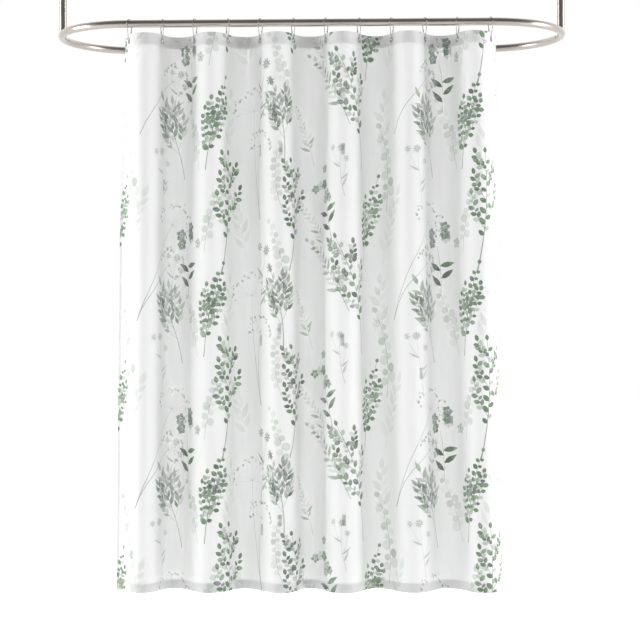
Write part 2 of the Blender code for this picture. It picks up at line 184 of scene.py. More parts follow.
class Graph:
    """A material's node tree, built from expressions."""

    def __init__(self, name: str) -> None:
        """Makes an empty material with a Principled shader.

        Args:
            name: The material's name.
        """
        self.material = bpy.data.materials.new(name)
        self.material.use_nodes = True
        self.tree = self.material.node_tree
        self.shader = self.tree.nodes["Principled BSDF"]

    def add(
        self, kind: str, settings: dict[str, object], inputs: dict[int | str, object], out: int | str = 0
    ) -> Socket:
        """Adds a node.

        Args:
            kind: The node's type.
            settings: Its own settings, set first.
            inputs: Values or links for its sockets, by number or name.
            out: The output to return.

        Returns:
            The output as a socket.
        """
        node = self.tree.nodes.new(kind)
        for name, value in settings.items():
            setattr(node, name, value)
        for name, value in inputs.items():
            self.feed(node.inputs[name], value)
        return Socket(self, node.outputs[out])

    def feed(self, socket: bpy.types.NodeSocket, value: object) -> None:
        """Sets or links an input.

        Args:
            socket: The input.
            value: A Socket, a number, a colour or a vector.
        """
        if isinstance(value, Socket):
            self.tree.links.new(value.link, socket)
        elif isinstance(value, tuple) and len(value) == 3 and socket.type == "RGBA":
            socket.default_value = (*value, 1.0)
        else:
            socket.default_value = value

    def set(self, **values: object) -> None:
        """Sets or links the shader's inputs, with underscores for spaces.

        Args:
            values: The values by name, such as Base_Color.
        """
        for name, value in values.items():
            self.feed(self.shader.inputs[name.replace("_", " ")], value)

    def flat(self, across: float = 1.0, along: float = 1.0) -> Socket:
        """The surface's own flat coordinates, in metres, times a scale each way."""
        place = self.add("ShaderNodeUVMap", {"uv_map": "flat"}, {})
        return self.add("ShaderNodeVectorMath", {"operation": "MULTIPLY"}, {0: place, 1: (across, along, 1)})

    def noise(self, vector: Socket, scale: float = 1.0, detail: float = 2.0, rough: float = 0.5) -> Socket:
        """A noise value about 0.5.

        Args:
            vector: Where it is read.
            scale: Bumps per unit.
            detail: Octaves.
            rough: How strong the finer octaves are.

        Returns:
            The value.
        """
        inputs = {"Vector": vector, "Scale": scale, "Detail": detail, "Roughness": rough}
        return self.add("ShaderNodeTexNoise", {}, inputs)

    def mix(self, share: Number, first: object, second: object) -> Socket:
        """Mixes two colours.

        Args:
            share: How much of the second.
            first: A colour or socket.
            second: A colour or socket.

        Returns:
            The colour.
        """
        return self.add("ShaderNodeMix", {"data_type": "RGBA"}, {0: share, 6: first, 7: second}, 2)

    def bump(self, height: Socket, distance: float, strength: float) -> Socket:
        """A Bump node's normal.

        Args:
            height: The height, from 0 to 1.
            distance: The height's size in metres.
            strength: How much of it shows.

        Returns:
            The normal.
        """
        inputs = {"Strength": strength, "Distance": distance, "Height": height}
        return self.add("ShaderNodeBump", {}, inputs, "Normal")


# Finishes


@dataclass(frozen=True)
class Marks:
    """Fine or broad marks over a surface, as bumps per metre across it and along it."""

    across: float
    along: float
    detail: float = 3.0
    roughness: float = 0.5

    def draw(self, graph: Graph) -> Socket:
        """Adds the marks to a graph, over the surface's flat coordinates."""
        return graph.noise(graph.flat(self.across, self.along), 1.0, self.detail, self.roughness)


@dataclass(frozen=True)
class EvenMarks(Marks):
    """Marks in every direction alike, over the object's own coordinates."""

    def draw(self, graph: Graph) -> Socket:
        """Adds the marks to a graph."""
        place = graph.add("ShaderNodeTexCoord", {}, {}, "Object")
        return graph.noise(place, self.across, self.detail, self.roughness)


@dataclass(frozen=True)
class Finish:
    """A finish of two tones. Marks show in its colour, roughness and relief, and haze in the first two."""

    name: str = "plain"
    low: Colour = (0.5, 0.5, 0.5)
    high: Colour = (0.5, 0.5, 0.5)
    marks: Marks = Marks(1000.0, 1000.0)
    haze: Marks | None = None
    haze_share: float = 0.0
    tones: Point = (0.3, 0.7)
    roughness: float = 0.2
    marks_roughness: float = 0.1
    haze_roughness: float = 0.0
    relief: float = 0.00002
    relief_strength: float = 0.3
    metallic: float = 1.0

    def make(self) -> Material:
        """Builds the material.

        Returns:
            The material.
        """
        graph = Graph(self.name)
        marks = self.marks.draw(graph)
        tone, roughness = marks, self.roughness + marks * self.marks_roughness
        if self.haze:
            haze = self.haze.draw(graph)
            tone = marks * (1.0 - self.haze_share) + haze * self.haze_share
            roughness = roughness + haze * self.haze_roughness
        graph.set(
            Base_Color=graph.mix(tone.step(*self.tones), self.low, self.high),
            Metallic=self.metallic,
            Roughness=roughness,
            Normal=graph.bump(marks, self.relief, self.relief_strength),
        )
        return graph.material


@dataclass(frozen=True)
class BrushedNickel(Finish):
    """Satin nickel on steel tube, brushed along its length."""

    name: str = "brushed_nickel"
    low: Colour = (0.35, 0.315, 0.285)
    high: Colour = (0.47, 0.435, 0.405)
    marks: Marks = Marks(2600.0, 22.0)
    haze: Marks = Marks(9.0, 5.0)
    haze_share: float = 0.45
    haze_roughness: float = 0.08
    relief_strength: float = 0.35


@dataclass(frozen=True)
class BrightWire(Finish):
    """Bright plated wire with faint drawing marks."""

    name: str = "polished_wire"
    low: Colour = (0.29, 0.27, 0.25)
    high: Colour = (0.42, 0.40, 0.375)
    marks: Marks = Marks(5000.0, 60.0, 2.0)
    haze: Marks = Marks(120.0, 90.0, 2.0)
    haze_share: float = 0.6
    roughness: float = 0.14
    marks_roughness: float = 0.0
    haze_roughness: float = 0.12
    relief: float = 0.00001


@dataclass(frozen=True)
class PressedMetal(Finish):
    """The eyelets' pressed and plated metal, with patchy wear."""

    name: str = "eyelet_metal"
    low: Colour = (0.62, 0.62, 0.61)
    high: Colour = (0.42, 0.41, 0.39)
    marks: Marks = Marks(900.0, 700.0, roughness=0.6)
    tones: Point = (0.45, 0.75)
    roughness: float = 0.18
    marks_roughness: float = 0.16


@dataclass(frozen=True)
class DarkSteel(Finish):
    """Dark plated screws, worn through to a paler metal."""

    name: str = "dark_steel"
    low: Colour = (0.12, 0.115, 0.11)
    high: Colour = (0.34, 0.33, 0.32)
    marks: Marks = EvenMarks(700.0, 700.0, roughness=0.6)
    tones: Point = (0.52, 0.7)
    roughness: float = 0.3
    marks_roughness: float = 0.2
    relief: float = 0.00003
    relief_strength: float = 0.4


@dataclass(frozen=True)
class SewingThread(Finish):
    """White polyester sewing thread with its twist."""

    name: str = "sewing_thread"
    low: Colour = (0.62, 0.63, 0.62)
    high: Colour = (0.80, 0.81, 0.80)
    marks: Marks = Marks(2500.0, 2500.0, 1.0)
    tones: Point = (0.35, 0.65)
    roughness: float = 0.55
    marks_roughness: float = 0.2
    relief: float = 0.00005
    relief_strength: float = 0.5
    metallic: float = 0.0


@dataclass(frozen=True)
class PrintedPolyester:
    """Matt woven polyester, near white, with a watercolour print carried by the cloth's own mesh."""

    name: str = "printed_polyester"
    ground: Colour = (0.855, 0.865, 0.855)
    ground_shade: float = 0.975
    slate: Colour = (0.135, 0.165, 0.145)
    moss: Colour = (0.185, 0.285, 0.165)
    wash_scale: float = 38.0
    fine_scale: float = 420.0
    hue_scale: float = 11.0
    densest_ink: float = 0.96
    thread_pitch: float = 0.0006

    def make(self) -> Material:
        """Builds the material.

        Returns:
            The material.
        """
        graph = Graph(self.name)
        flat = graph.flat()
        wash = graph.noise(flat, self.wash_scale, 4.0, 0.6)
        fine = graph.noise(flat, self.fine_scale, 3.0, 0.6)
        ground = graph.mix(
            fine.step(0.3, 0.7) * 0.5, self.ground, tuple(self.ground_shade * c for c in self.ground)
        )
        graph.set(
            Base_Color=self._printed(graph, flat, wash, fine, ground),
            Roughness=0.80 + fine * 0.12,
            Subsurface_Weight=0.75,
            Subsurface_Radius=(1.0, 1.0, 1.0),
            Subsurface_Scale=0.002,
            Sheen_Weight=0.12,
            Sheen_Roughness=0.45,
            Specular_IOR_Level=0.3,
            Normal=graph.bump(self._weave(graph), 0.00006, 0.45),
        )
        return graph.material

    def _printed(self, graph: Graph, flat: Socket, wash: Socket, fine: Socket, ground: Socket) -> Socket:
        """The cloth's colour, with pooled ink at the rims of the leaves, pale midribs and faint veins.

        Args:
            graph: The material's graph.
            flat: The flat coordinates.
            wash: Broad noise.
            fine: Fine noise.
            ground: The cloth's own colour.

        Returns:
            The colour.
        """
        source = {"attribute_type": "GEOMETRY", "attribute_name": "print"}
        drawing = graph.add("ShaderNodeAttribute", source, {})
        across = graph.add("ShaderNodeAttribute", source, {}, "Alpha")
        ink, green, along = (graph.add("ShaderNodeSeparateColor", {}, {0: drawing}, i) for i in range(3))
        pooled = across**5.0 * 0.30
        midrib = (1.0 - across.step(0.02, 0.16)) * 0.16
        veins = (along * 34.0 + across * 7.0).sine() * 0.05
        strength = 0.52 + wash * 0.70 + fine * 0.22 + pooled - midrib + veins - along * 0.16
        depth = (ink * strength).lowest(self.densest_ink)
        hue = graph.noise(flat, self.hue_scale)
        leaf = graph.mix((green + hue * 0.5 - 0.25).step(0.15, 0.95), self.slate, self.moss)
        return graph.mix(depth, ground, leaf)

    def _weave(self, graph: Graph) -> Socket:
        """The weave's height, with uneven threads both ways.

        Args:
            graph: The material's graph.

        Returns:
            The height.
        """
        turns = 2.0 * math.pi / self.thread_pitch
        place = graph.flat(turns, turns)
        column, row = (graph.add("ShaderNodeSeparateXYZ", {}, {0: place}, i) for i in range(2))
        weave = column.sine() * row.sine() * 0.5 + 0.5
        slub = graph.noise(graph.flat(60.0, 900.0)) + graph.noise(graph.flat(900.0, 60.0))
        return weave * 0.6 + slub * 0.35


# Mesh helpers


def turns(count: int, shift: float = 0.0) -> list[float]:
    """Even turns round a circle, the first one shifted by a share of a step."""
    return [2.0 * math.pi * (i + shift) / count for i in range(count)]


def girth(radius: float, turn: float) -> float:
    """How far a turn goes round a rod, by the shorter way."""
    return radius * min(turn, 2.0 * math.pi - turn)


def bands(count: int, sides: int) -> list[tuple[int, ...]]:
    """The faces of a number of bands between rings of points."""
    starts = [(i * sides, j, (j + 1) % sides) for i in range(count) for j in range(sides)]
    return [(start + j, start + sides + j, start + sides + k, start + k) for start, j, k in starts]


def make_object(
    name: str,
    points: np.ndarray,
    faces: Sequence[Sequence[int]],
    flat: np.ndarray | None,
    finish: Material,
) -> Object:
    """Makes a smooth-shaded mesh object.

    Args:
        name: The object's name.
        points: The vertices.
        faces: Vertex numbers of each face.
        flat: Flat coordinates of each vertex, in metres, or None.
        finish: The material.

    Returns:
        The object.
    """
    mesh = bpy.data.meshes.new(name)
    mesh.from_pydata([tuple(p) for p in points], [], [tuple(f) for f in faces])
    mesh.materials.append(finish)
    mesh.shade_smooth()
    if flat is not None:
        corners = np.empty(len(mesh.loops), np.int32)
        mesh.loops.foreach_get("vertex_index", corners)
        mesh.uv_layers.new(name="flat").data.foreach_set("uv", flat[corners].astype(np.float32).ravel())
    made = bpy.data.objects.new(name, mesh)
    bpy.context.scene.collection.objects.link(made)
    return made


def swept(
    name: str,
    path: Sequence[Vector],
    radius: float | Sequence[float],
    sides: int,
    finish: Material,
    closed: bool = False,
) -> Object:
    """A round rod or loop along a path, with its own length and girth as flat coordinates.

    Args:
        name: The object's name.
        path: The centre line.
        radius: One radius, or one for each point.
        sides: Facets round it.
        finish: The material.
        closed: Whether it is a loop.

    Returns:
        The object.
    """
    count = len(path)
    radii = [radius] * count if isinstance(radius, float) else list(radius)
    points, flat, faces = [], [], []
    across: Vector | None = None
    travelled = 0.0
    for i, centre in enumerate(path):
        before = path[i - 1] if i or closed else centre
        after = path[(i + 1) % count] if i < count - 1 or closed else centre
        along = (after - before).normalized()
        across = along.orthogonal() if across is None else across - along * across.dot(along)
        across = across.normalized()
        up = along.cross(across)
        travelled += (centre - before).length if i else 0.0
        for turn in turns(sides):
            points.append(centre + radii[i] * (math.cos(turn) * across + math.sin(turn) * up))
            flat.append((girth(radii[i], turn), travelled))
    for i in range(count if closed else count - 1):
        k = (i + 1) % count
        shift = 0
        if closed and k == 0:
            shift = min(range(sides), key=lambda t: (points[t] - points[i * sides]).length)
        for j in range(sides):
            a, b = i * sides + j, i * sides + (j + 1) % sides
            c, d = k * sides + (j + 1 + shift) % sides, k * sides + (j + shift) % sides
            faces.append((a, b, c, d))
    if not closed:
        faces.append(tuple(range(sides))[::-1])
        faces.append(tuple((count - 1) * sides + j for j in range(sides)))
    made = make_object(name, np.array(points), faces, np.array(flat), finish)
    made.data.set_sharp_from_angle(angle=math.radians(60.0))
    return made


def turned(name: str, profile: Sequence[Point], sides: int, place: Matrix, finish: Material) -> Object:
    """A solid of revolution about Z.

    Args:
        name: The object's name.
        profile: Radius and height of each point, in order round the section. Radius 0 closes an end.
        sides: Facets round it.
        place: Where it goes.
        finish: The material.

    Returns:
        The object.
    """
    points, flat, rings, faces = [], [], [], []
    travelled = 0.0
    for i, (radius, z) in enumerate(profile):
        travelled += math.dist(profile[i - 1], profile[i]) if i else 0.0
        ring = [0.0] if radius == 0.0 else turns(sides)
        rings.append([len(points) + j for j in range(len(ring))])
        for turn in ring:
            points.append(place @ Vector((radius * math.cos(turn), radius * math.sin(turn), z)))
            flat.append((girth(radius, turn), travelled))
    hollow = profile[0][0] > 0.0
    for here, there in zip(rings, rings[1:] + rings[:1] if hollow else rings[1:]):
        for j in range(sides):
            k = (j + 1) % sides
            corners = (here[j % len(here)], here[k % len(here)], there[k % len(there)], there[j % len(there)])
            faces.append(tuple(dict.fromkeys(corners)))
    made = make_object(name, np.array(points), faces, np.array(flat), finish)
    made.data.set_sharp_from_angle(angle=math.radians(38.0))
    return made


def rounded(corners: Sequence[Point], radius: float, steps: int = 4) -> list[Point]:
    """Rounds the corners of a closed section.

    Args:
        corners: The section's corners in order.
        radius: The largest rounding.
        steps: Steps of each rounding.

    Returns:
        The rounded section.
    """
    made = []
    for i, corner in enumerate(corners):
        here = Vector(corner)
        before, after = Vector(corners[i - 1]) - here, Vector(corners[(i + 1) % len(corners)]) - here
        reach = min(radius, 0.45 * before.length, 0.45 * after.length)
        start, end = here + before.normalized() * reach, here + after.normalized() * reach
        for k in range(steps + 1):
            share = k / steps
            spot = start * (1.0 - share) ** 2 + here * 2.0 * share * (1.0 - share) + end * share**2
            made.append((spot.x, spot.y))
    return made


# The cloth's shape

# Slow waves that deepen and flatten the folds: size, rate across, start, turn with depth.
SWELLS = ((1.0, 0.31, 1.1, 1.3), (0.6, 0.73, 4.0, -0.8))
# Pressed creases: place across as a share of the width, depth of the crease, depth at which it starts.
CREASES = ((0.545, -0.0042, 0.45), (0.30, -0.0016, 0.9), (0.79, 0.0018, 0.7))


@dataclass
class HungCloth:
    """Where each point of the flat cloth hangs. Flat places run from the left edge and down from the top."""

    width: float = 1.83
    height: float = 1.83
    side_margin: float = 0.040
    top_margin: float = 0.021
    top_hem: float = 0.040
    flare: float = 0.038
    pitch: float = 0.108
    eyelets: int = 12
    columns: int = 1831
    rows: int = 123
    seed: int = 5
    fold_lag: float = 0.36
    fold_sway: float = 0.085
    fold_swell: float = 0.05
    second_wave: float = 0.10
    line_kept: float = 0.15
    crumple: float = 0.00042
    pucker: float = 0.00035
    crease_width: float = 0.014

    def __post_init__(self) -> None:
        """Works out the whole surface once."""
        self.spacing = (self.width - 2.0 * self.side_margin) / (self.eyelets - 1)
        first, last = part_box("eyelet_01"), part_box(f"eyelet_{self.eyelets:02d}")
        centre = (first[0] + first[1] + last[0] + last[1]) / 4.0
        self.middle = centre.x
        self.line = (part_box("hook_01")[0].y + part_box("hook_01")[1].y) / 2.0
        self.top = centre.z + self.top_margin
        self.across = np.linspace(0.0, self.width, self.columns)
        self.down = np.linspace(0.0, self.height, self.rows)
        self.phase = math.pi * (self.across - self.side_margin) / self.spacing
        self.places = self._hung()
        self.normals = self._normals()

    @staticmethod
    def _steepest(ratio: float) -> float:
        """The steepest angle of a fold that hangs at a share of its flat width.

        Args:
            ratio: Hung width over flat width.

        Returns:
            The angle.
        """
        samples, halvings = 180, 40
        phase = math.pi * (np.arange(samples) + 0.5) / samples
        low, high = 0.0, 0.75 * math.pi
        for _ in range(halvings):
            half = (low + high) / 2.0
            if np.mean(np.cos(half * np.cos(phase))) > ratio:
                low = half
            else:
                high = half
        return low

    @staticmethod
    def _rise(down: float, low: float, high: float) -> float:
        """A smooth rise from 0 to 1 between two depths."""
        share = min(1.0, max(0.0, (down - low) / (high - low)))
        return share * share * (3.0 - 2.0 * share)

    def _hung(self) -> np.ndarray:
        """Builds the grid of places.

        Returns:
            The places by row and column.
        """
        dice = np.random.default_rng(self.seed)
        ranges = ((0.18, 0.9), (0.0, 6.28), (-1.2, 1.2))
        drift = [tuple(dice.uniform(*span) for span in ranges) for _ in range(4)]
        ranges = ((20.0, 70.0), (0.0, 6.28), (-3.5, 3.5), (0.4, 1.0))
        crumple = [tuple(dice.uniform(*span) for span in ranges) for _ in range(9)]
        places = np.zeros((self.rows, self.columns, 3))
        for row, down in zip(places, self.down):
            below = max(0.0, down - self.top_hem) / (self.height - self.top_hem)
            free = self._rise(down, 0.06, 0.75)
            spread = 1.0 + self.flare * below
            angle = self._angle(below, free, spread, drift)
            row[:, 0], row[:, 1] = self._spaced(angle, free, spread)
            normal = np.stack([-np.sin(angle), np.cos(angle)], 1)
            row[:, :2] += normal * self._relief(down, crumple)[:, None]
            row[:, 2] = self.top - down
        return places

    def _angle(
        self, below: float, free: float, spread: float, drift: list[tuple[float, ...]]
    ) -> np.ndarray:
        """How far the cloth turns from the rail's direction, along one row.

        Args:
            below: The row's depth under the top hem, as a share of the whole.
            free: How free the row is of the hooks, from 0 to 1.
            spread: How much wider than at the hooks the row hangs.
            drift: Rate, start and turn with depth of the waves that move the folds aside.

        Returns:
            The angles.
        """
        phase = self.phase
        steep = self._steepest(self.pitch * spread / self.spacing)
        shift = sum(np.sin(rate * phase + start + turn * below * 2.0) for rate, start, turn in drift)
        swell = sum(size * np.sin(rate * phase + start + turn * below) for size, rate, start, turn in SWELLS)
        folds = np.cos(phase - self.fold_lag * free + self.fold_sway * free * shift)
        angle = -steep * (1.0 + self.fold_swell * free * swell) * folds
        return angle + self.second_wave * free * np.sin(2.0 * phase + 0.7)

    def _spaced(self, angle: np.ndarray, free: float, spread: float) -> tuple[np.ndarray, np.ndarray]:
        """Places along one row, with the eyelets evenly spaced where the hooks hold them.

        Args:
            angle: The row's angles.
            free: How free the row is of the hooks, from 0 to 1.
            spread: How much wider than at the hooks the row hangs.

        Returns:
            The places along the rail and across it.
        """
        s = self.across
        x, y = self._travel(np.cos(angle)), self._travel(np.sin(angle))
        knots = self.side_margin + self.spacing * np.arange(self.eyelets)
        x_now, y_now = np.interp(knots, s, x), np.interp(knots, s, y)
        want = self.middle + spread * self.pitch * (np.arange(self.eyelets) - (self.eyelets - 1) / 2.0)
        stretch = np.interp(s, knots, want - x_now)
        straight = np.interp(s, [knots[0], knots[-1]], [want[0] - x_now[0], want[-1] - x_now[-1]])
        level = np.interp(s, knots, y_now)
        return (
            x + stretch * (1.0 - free) + straight * free,
            y + self.line - level * (1.0 - self.line_kept * free),
        )

    def _relief(self, down: float, crumple: list[tuple[float, ...]]) -> np.ndarray:
        """The crumples, the puckers under the top hem and the creases of one row, as lifts to the rear.

        Args:
            down: The row's depth below the top.
            crumple: Rate, start, turn with depth and size of the small waves.

        Returns:
            The lifts.
        """
        s = self.across
        ripple = sum(size * np.sin(rate * s + start + turn * down) for rate, start, turn, size in crumple)
        lift = self.crumple * self._rise(down, 0.04, 0.3) * ripple
        gathers = np.sin(260.0 * s + 1.5 * np.sin(31.0 * s))
        lift += self.pucker * (1.0 - self._rise(down, 0.05, 0.16)) * self._rise(down, 0.030, 0.045) * gathers
        return lift + self._creases(s, down)

    def _normals(self) -> np.ndarray:
        """Works out the normals, which face the rear.

        Returns:
            The normals by row and column.
        """
        ds = np.gradient(self.places, self.across, axis=1)
        dt = np.gradient(self.places, self.down, axis=0)
        normals = np.cross(dt, ds)
        rear = np.sum(normals[:, :, :2] * np.stack([-ds[:, :, 1], ds[:, :, 0]], 2), 2)
        normals *= np.sign(rear)[:, :, None]
        return normals / np.linalg.norm(normals, axis=2)[:, :, None]

    def _travel(self, rate: np.ndarray) -> np.ndarray:
        """The running total of a rate along the cloth."""
        steps = (rate[1:] + rate[:-1]) / 2.0 * np.diff(self.across)
        return np.concatenate([[0.0], np.cumsum(steps)])

    def _creases(self, s: np.ndarray, down: float) -> np.ndarray:
        """Pressed creases that run down the cloth, as lifts towards the rear.

        Args:
            s: Places across the cloth.
            down: Depth below the top.

        Returns:
            The lifts.
        """
        lift = np.zeros_like(s)
        for place, size, high in CREASES:
            middle = place * self.width + 0.012 * math.sin(2.6 * down + place * 9.0)
            shape = np.exp(-np.abs(s - middle) / self.crease_width)
            lift += size * self._rise(down, high, high + 0.35) * shape
        return lift

    def place(self, s: np.ndarray, t: np.ndarray, h: np.ndarray | float = 0.0) -> np.ndarray:
        """Where points of the cloth hang.

        Args:
            s: Places from the left edge.
            t: Places down from the top.
            h: Heights towards the rear.

        Returns:
            The points.
        """
        return self._read(self.places, s, t) + self._read(self.normals, s, t) * np.reshape(h, (-1, 1))

    def normal(self, s: np.ndarray, t: np.ndarray) -> np.ndarray:
        """The rear-facing normals at points of the cloth."""
        return self._read(self.normals, s, t)

    def _read(self, grid: np.ndarray, s: np.ndarray, t: np.ndarray) -> np.ndarray:
        """Reads a grid between its points.

        Args:
            grid: Values by row and column.
            s: Places from the left edge.
            t: Places down from the top.

        Returns:
            The values.
        """
        a = np.clip(np.asarray(s) / self.width, 0.0, 1.0) * (self.columns - 1)
        b = np.clip(np.asarray(t) / self.height, 0.0, 1.0) * (self.rows - 1)
        i, j = np.minimum(a.astype(int), self.columns - 2), np.minimum(b.astype(int), self.rows - 2)
        u, v = (a - i)[:, None], (b - j)[:, None]
        upper = grid[j, i] * (1.0 - u) + grid[j, i + 1] * u
        lower = grid[j + 1, i] * (1.0 - u) + grid[j + 1, i + 1] * u
        return upper * (1.0 - v) + lower * v


# The print

# How dark a leaf of a pair may be, as a share of its sprig's ink.
LEAF_INKS = (0.4, 0.65, 0.9, 1.1, 1.35)


class Outline(Enum):
    """How a leaf or petal widens from its base, at 0, to its tip, at 1."""

    LANCE = "lance"
    OVAL = "oval"
    ROUND = "round"

    def share(self, along: float) -> float:
        """The half width at a place along the leaf.

        Args:
            along: The place, from 0 to 1.

        Returns:
            The half width, as a share of the widest.
        """
        if self is Outline.LANCE:
            return math.sin(math.pi * along**0.8) ** 1.1
        if self is Outline.OVAL:
            return math.sin(math.pi * along**0.9) ** 0.62
        return math.sqrt(max(0.0, 1.0 - (2.0 * along - 1.0) ** 2))


@dataclass
class Blot:
    """One printed shape: an outline, its middle line, and how it is inked."""

    outline: list[Point]
    base: Point
    tip: Point
    half_width: float
    ink: float
    green: float

    def moved(self, place: Callable[[Point], Point]) -> Blot:
        """The same blot somewhere else.

        Args:
            place: Where each of its points goes.

        Returns:
            The new blot.
        """
        outline = [place(p) for p in self.outline]
        base, tip = place(self.base), place(self.tip)
        grown = math.dist(base, tip) / (math.dist(self.base, self.tip) or 1.0)
        return Blot(outline, base, tip, self.half_width * grown, self.ink, self.green)


@dataclass
class Sprig:
    """A drawing of one plant, which grows along +X from the origin."""

    dice: random.Random
    ink: float
    green: float
    blots: list[Blot] = field(default_factory=list)

    def leaf(
        self,
        root: Point,
        turn: float,
        length: float,
        width: float,
        shape: Outline,
        ink: float = 1.0,
        steps: int = 4,
    ) -> None:
        """Adds a leaf or petal.

        Args:
            root: Where it starts.
            turn: Its direction.
            length: Its length.
            width: Its width.
            shape: Its outline.
            ink: Its ink, as a share of the sprig's.
            steps: Steps along each edge.
        """
        c, s = math.cos(turn), math.sin(turn)
        sides = []
        for sign, run in ((1.0, range(steps + 1)), (-1.0, range(steps - 1, 0, -1))):
            for k in run:
                along = k / steps
                x, y = along * length, sign * 0.5 * width * shape.share(along)
                sides.append((root[0] + c * x - s * y, root[1] + s * x + c * y))
        tip = (root[0] + c * length, root[1] + s * length)
        green = min(1.0, max(0.0, self.green + self.dice.uniform(-0.35, 0.35)))
        self.blots.append(Blot(sides, root, tip, 0.5 * width, min(1.0, self.ink * ink), green))

    def stem(self, path: Sequence[Point], width: float, ink: float = 1.0) -> None:
        """Adds a stem as one thin strip.

        Args:
            path: Its line.
            width: Its width at the root.
            ink: Its ink, as a share of the sprig's.
        """
        left, right = [], []
        for i, (x, y) in enumerate(path):
            a, b = path[max(0, i - 1)], path[min(len(path) - 1, i + 1)]
            size = math.dist(a, b) or 1.0
            half = 0.5 * width * (1.0 - 0.5 * i / (len(path) - 1))
            nx, ny = -(b[1] - a[1]) / size * half, (b[0] - a[0]) / size * half
            left.append((x + nx, y + ny))
            right.append((x - nx, y - ny))
        self.blots.append(Blot(left + right[::-1], path[0], path[-1], 0.1, self.ink * ink, 0.3 * self.green))

    def curve(self, root: Point, turn: float, length: float, bend: float, steps: int = 6) -> list[Point]:
        """A line that bends evenly.

        Args:
            root: Its start.
            turn: Its first direction.
            length: Its length.
            bend: How much it turns in all.
            steps: Its steps.

        Returns:
            Its points.
        """
        path = [root]
        for i in range(steps):
            angle = turn + bend * (i + 0.5) / steps
            x, y = path[-1]
            path.append((x + length / steps * math.cos(angle), y + length / steps * math.sin(angle)))
        return path

    def along(self, path: Sequence[Point], share: float) -> tuple[Point, float]:
        """A point of a line and its direction there.

        Args:
            path: The line.
            share: How far along, from 0 to 1.

        Returns:
            The point and the direction.
        """
        spot = min(share, 0.999) * (len(path) - 1)
        i = int(spot)
        (ax, ay), (bx, by) = path[i], path[i + 1]
        f = spot - i
        return (ax + f * (bx - ax), ay + f * (by - ay)), math.atan2(by - ay, bx - ax)

    def flower(self, centre: Point, size: float, petals: int, shape: Outline, ink: float = 1.0) -> None:
        """Adds a flower of petals round a dot.

        Args:
            centre: Its middle.
            size: Its width.
            petals: How many petals.
            shape: Their outline.
            ink: Their ink, as a share of the sprig's.
        """
        spin = self.dice.uniform(0.0, 1.0)
        width = size * (0.17 if shape is Outline.LANCE else 0.36)
        for i in range(petals):
            turn = spin + 2.0 * math.pi * i / petals + self.dice.uniform(-0.12, 0.12)
            root = (centre[0] + 0.08 * size * math.cos(turn), centre[1] + 0.08 * size * math.sin(turn))
            length = 0.42 * size * self.dice.uniform(0.85, 1.1)
            self.leaf(root, turn, length, width, shape, ink, 3)
        heart = 0.20 * size
        self.leaf((centre[0] - heart / 2.0, centre[1]), 0.0, heart, heart, Outline.ROUND, 1.35, 3)

    def pairs(
        self,
        path: Sequence[Point],
        count: int,
        size: Callable[[float], Point],
        spread: float,
        shape: Outline,
        offset: float = 0.0,
        start: float = 0.16,
    ) -> None:
        """Sets leaves in pairs along a stem, with one at its tip.

        Args:
            path: The stem.
            count: How many pairs.
            size: Length and width of a leaf at a share of the stem.
            spread: The leaves' angle to the stem.
            shape: Their outline.
            offset: How far the left leaf of a pair is ahead, as a share of a step.
            start: Where the leaves start, as a share of the stem.
        """
        for i in range(count):
            for sign in (-1.0, 1.0):
                ahead = offset if sign > 0 else 0.0
                share = start + (0.96 - start) * (i + ahead) / count
                spot, turn = self.along(path, share)
                length, width = size(share)
                lean = sign * spread * self.dice.uniform(0.7, 1.3)
                grown = self.dice.uniform(0.7, 1.2)
                ink = self.dice.choice(LEAF_INKS)
                self.leaf(spot, turn + lean, length * grown, width * grown, shape, ink)
        spot, turn = self.along(path, 1.0)
        length, width = size(1.0)
        self.leaf(spot, turn, length, width, shape)

    def willow(self) -> None:
        """A long forked branch with rounded leaves on side twigs."""
        bend = self.dice.choice((-1.0, 1.0)) * self.dice.uniform(0.3, 0.6)
        path = self.curve((0.0, 0.0), 0.0, 0.33, bend, 8)
        self.stem(path, 0.0030, 0.8)
        for i, share in enumerate((0.36, 0.48, 0.60, 0.72, 0.84)):
            spot, turn = self.along(path, share)
            side = 1.0 if i % 2 else -1.0
            twig = self.curve(spot, turn + side * 0.75, 0.135 - 0.09 * share, -side * 0.5, 4)
            self.stem(twig, 0.0018, 0.8)
            self.pairs(twig, 4, lambda at: (0.020, 0.0115), 0.85, Outline.OVAL, 0.5, 0.25)
        self.pairs(
            path, 7, lambda at: (0.026 - 0.008 * at, 0.0150 - 0.004 * at), 0.85, Outline.OVAL, 0.5, 0.30
        )

    def feather(self) -> None:
        """A broad spray of long leaves on side twigs, over a bare stem."""
        path = self.curve((0.0, 0.0), 0.0, 0.24, self.dice.uniform(-0.5, 0.5), 6)
        self.stem(path, 0.0026, 1.1)
        for share, reach in ((0.34, 0.085), (0.48, 0.085), (0.64, 0.065)):
            for side in (-1.0, 1.0):
                spot, turn = self.along(path, share + 0.03 * side)
                twig = self.curve(spot, turn + side * 0.62, reach, -side * 0.3, 4)
                self.stem(twig, 0.0014)
                self.pairs(twig, 3, lambda at: (0.030, 0.0105), 0.6, Outline.LANCE, 0.4, 0.35)
        self.pairs(path, 5, lambda at: (0.036, 0.0125), 0.6, Outline.LANCE, 0.4, 0.5)

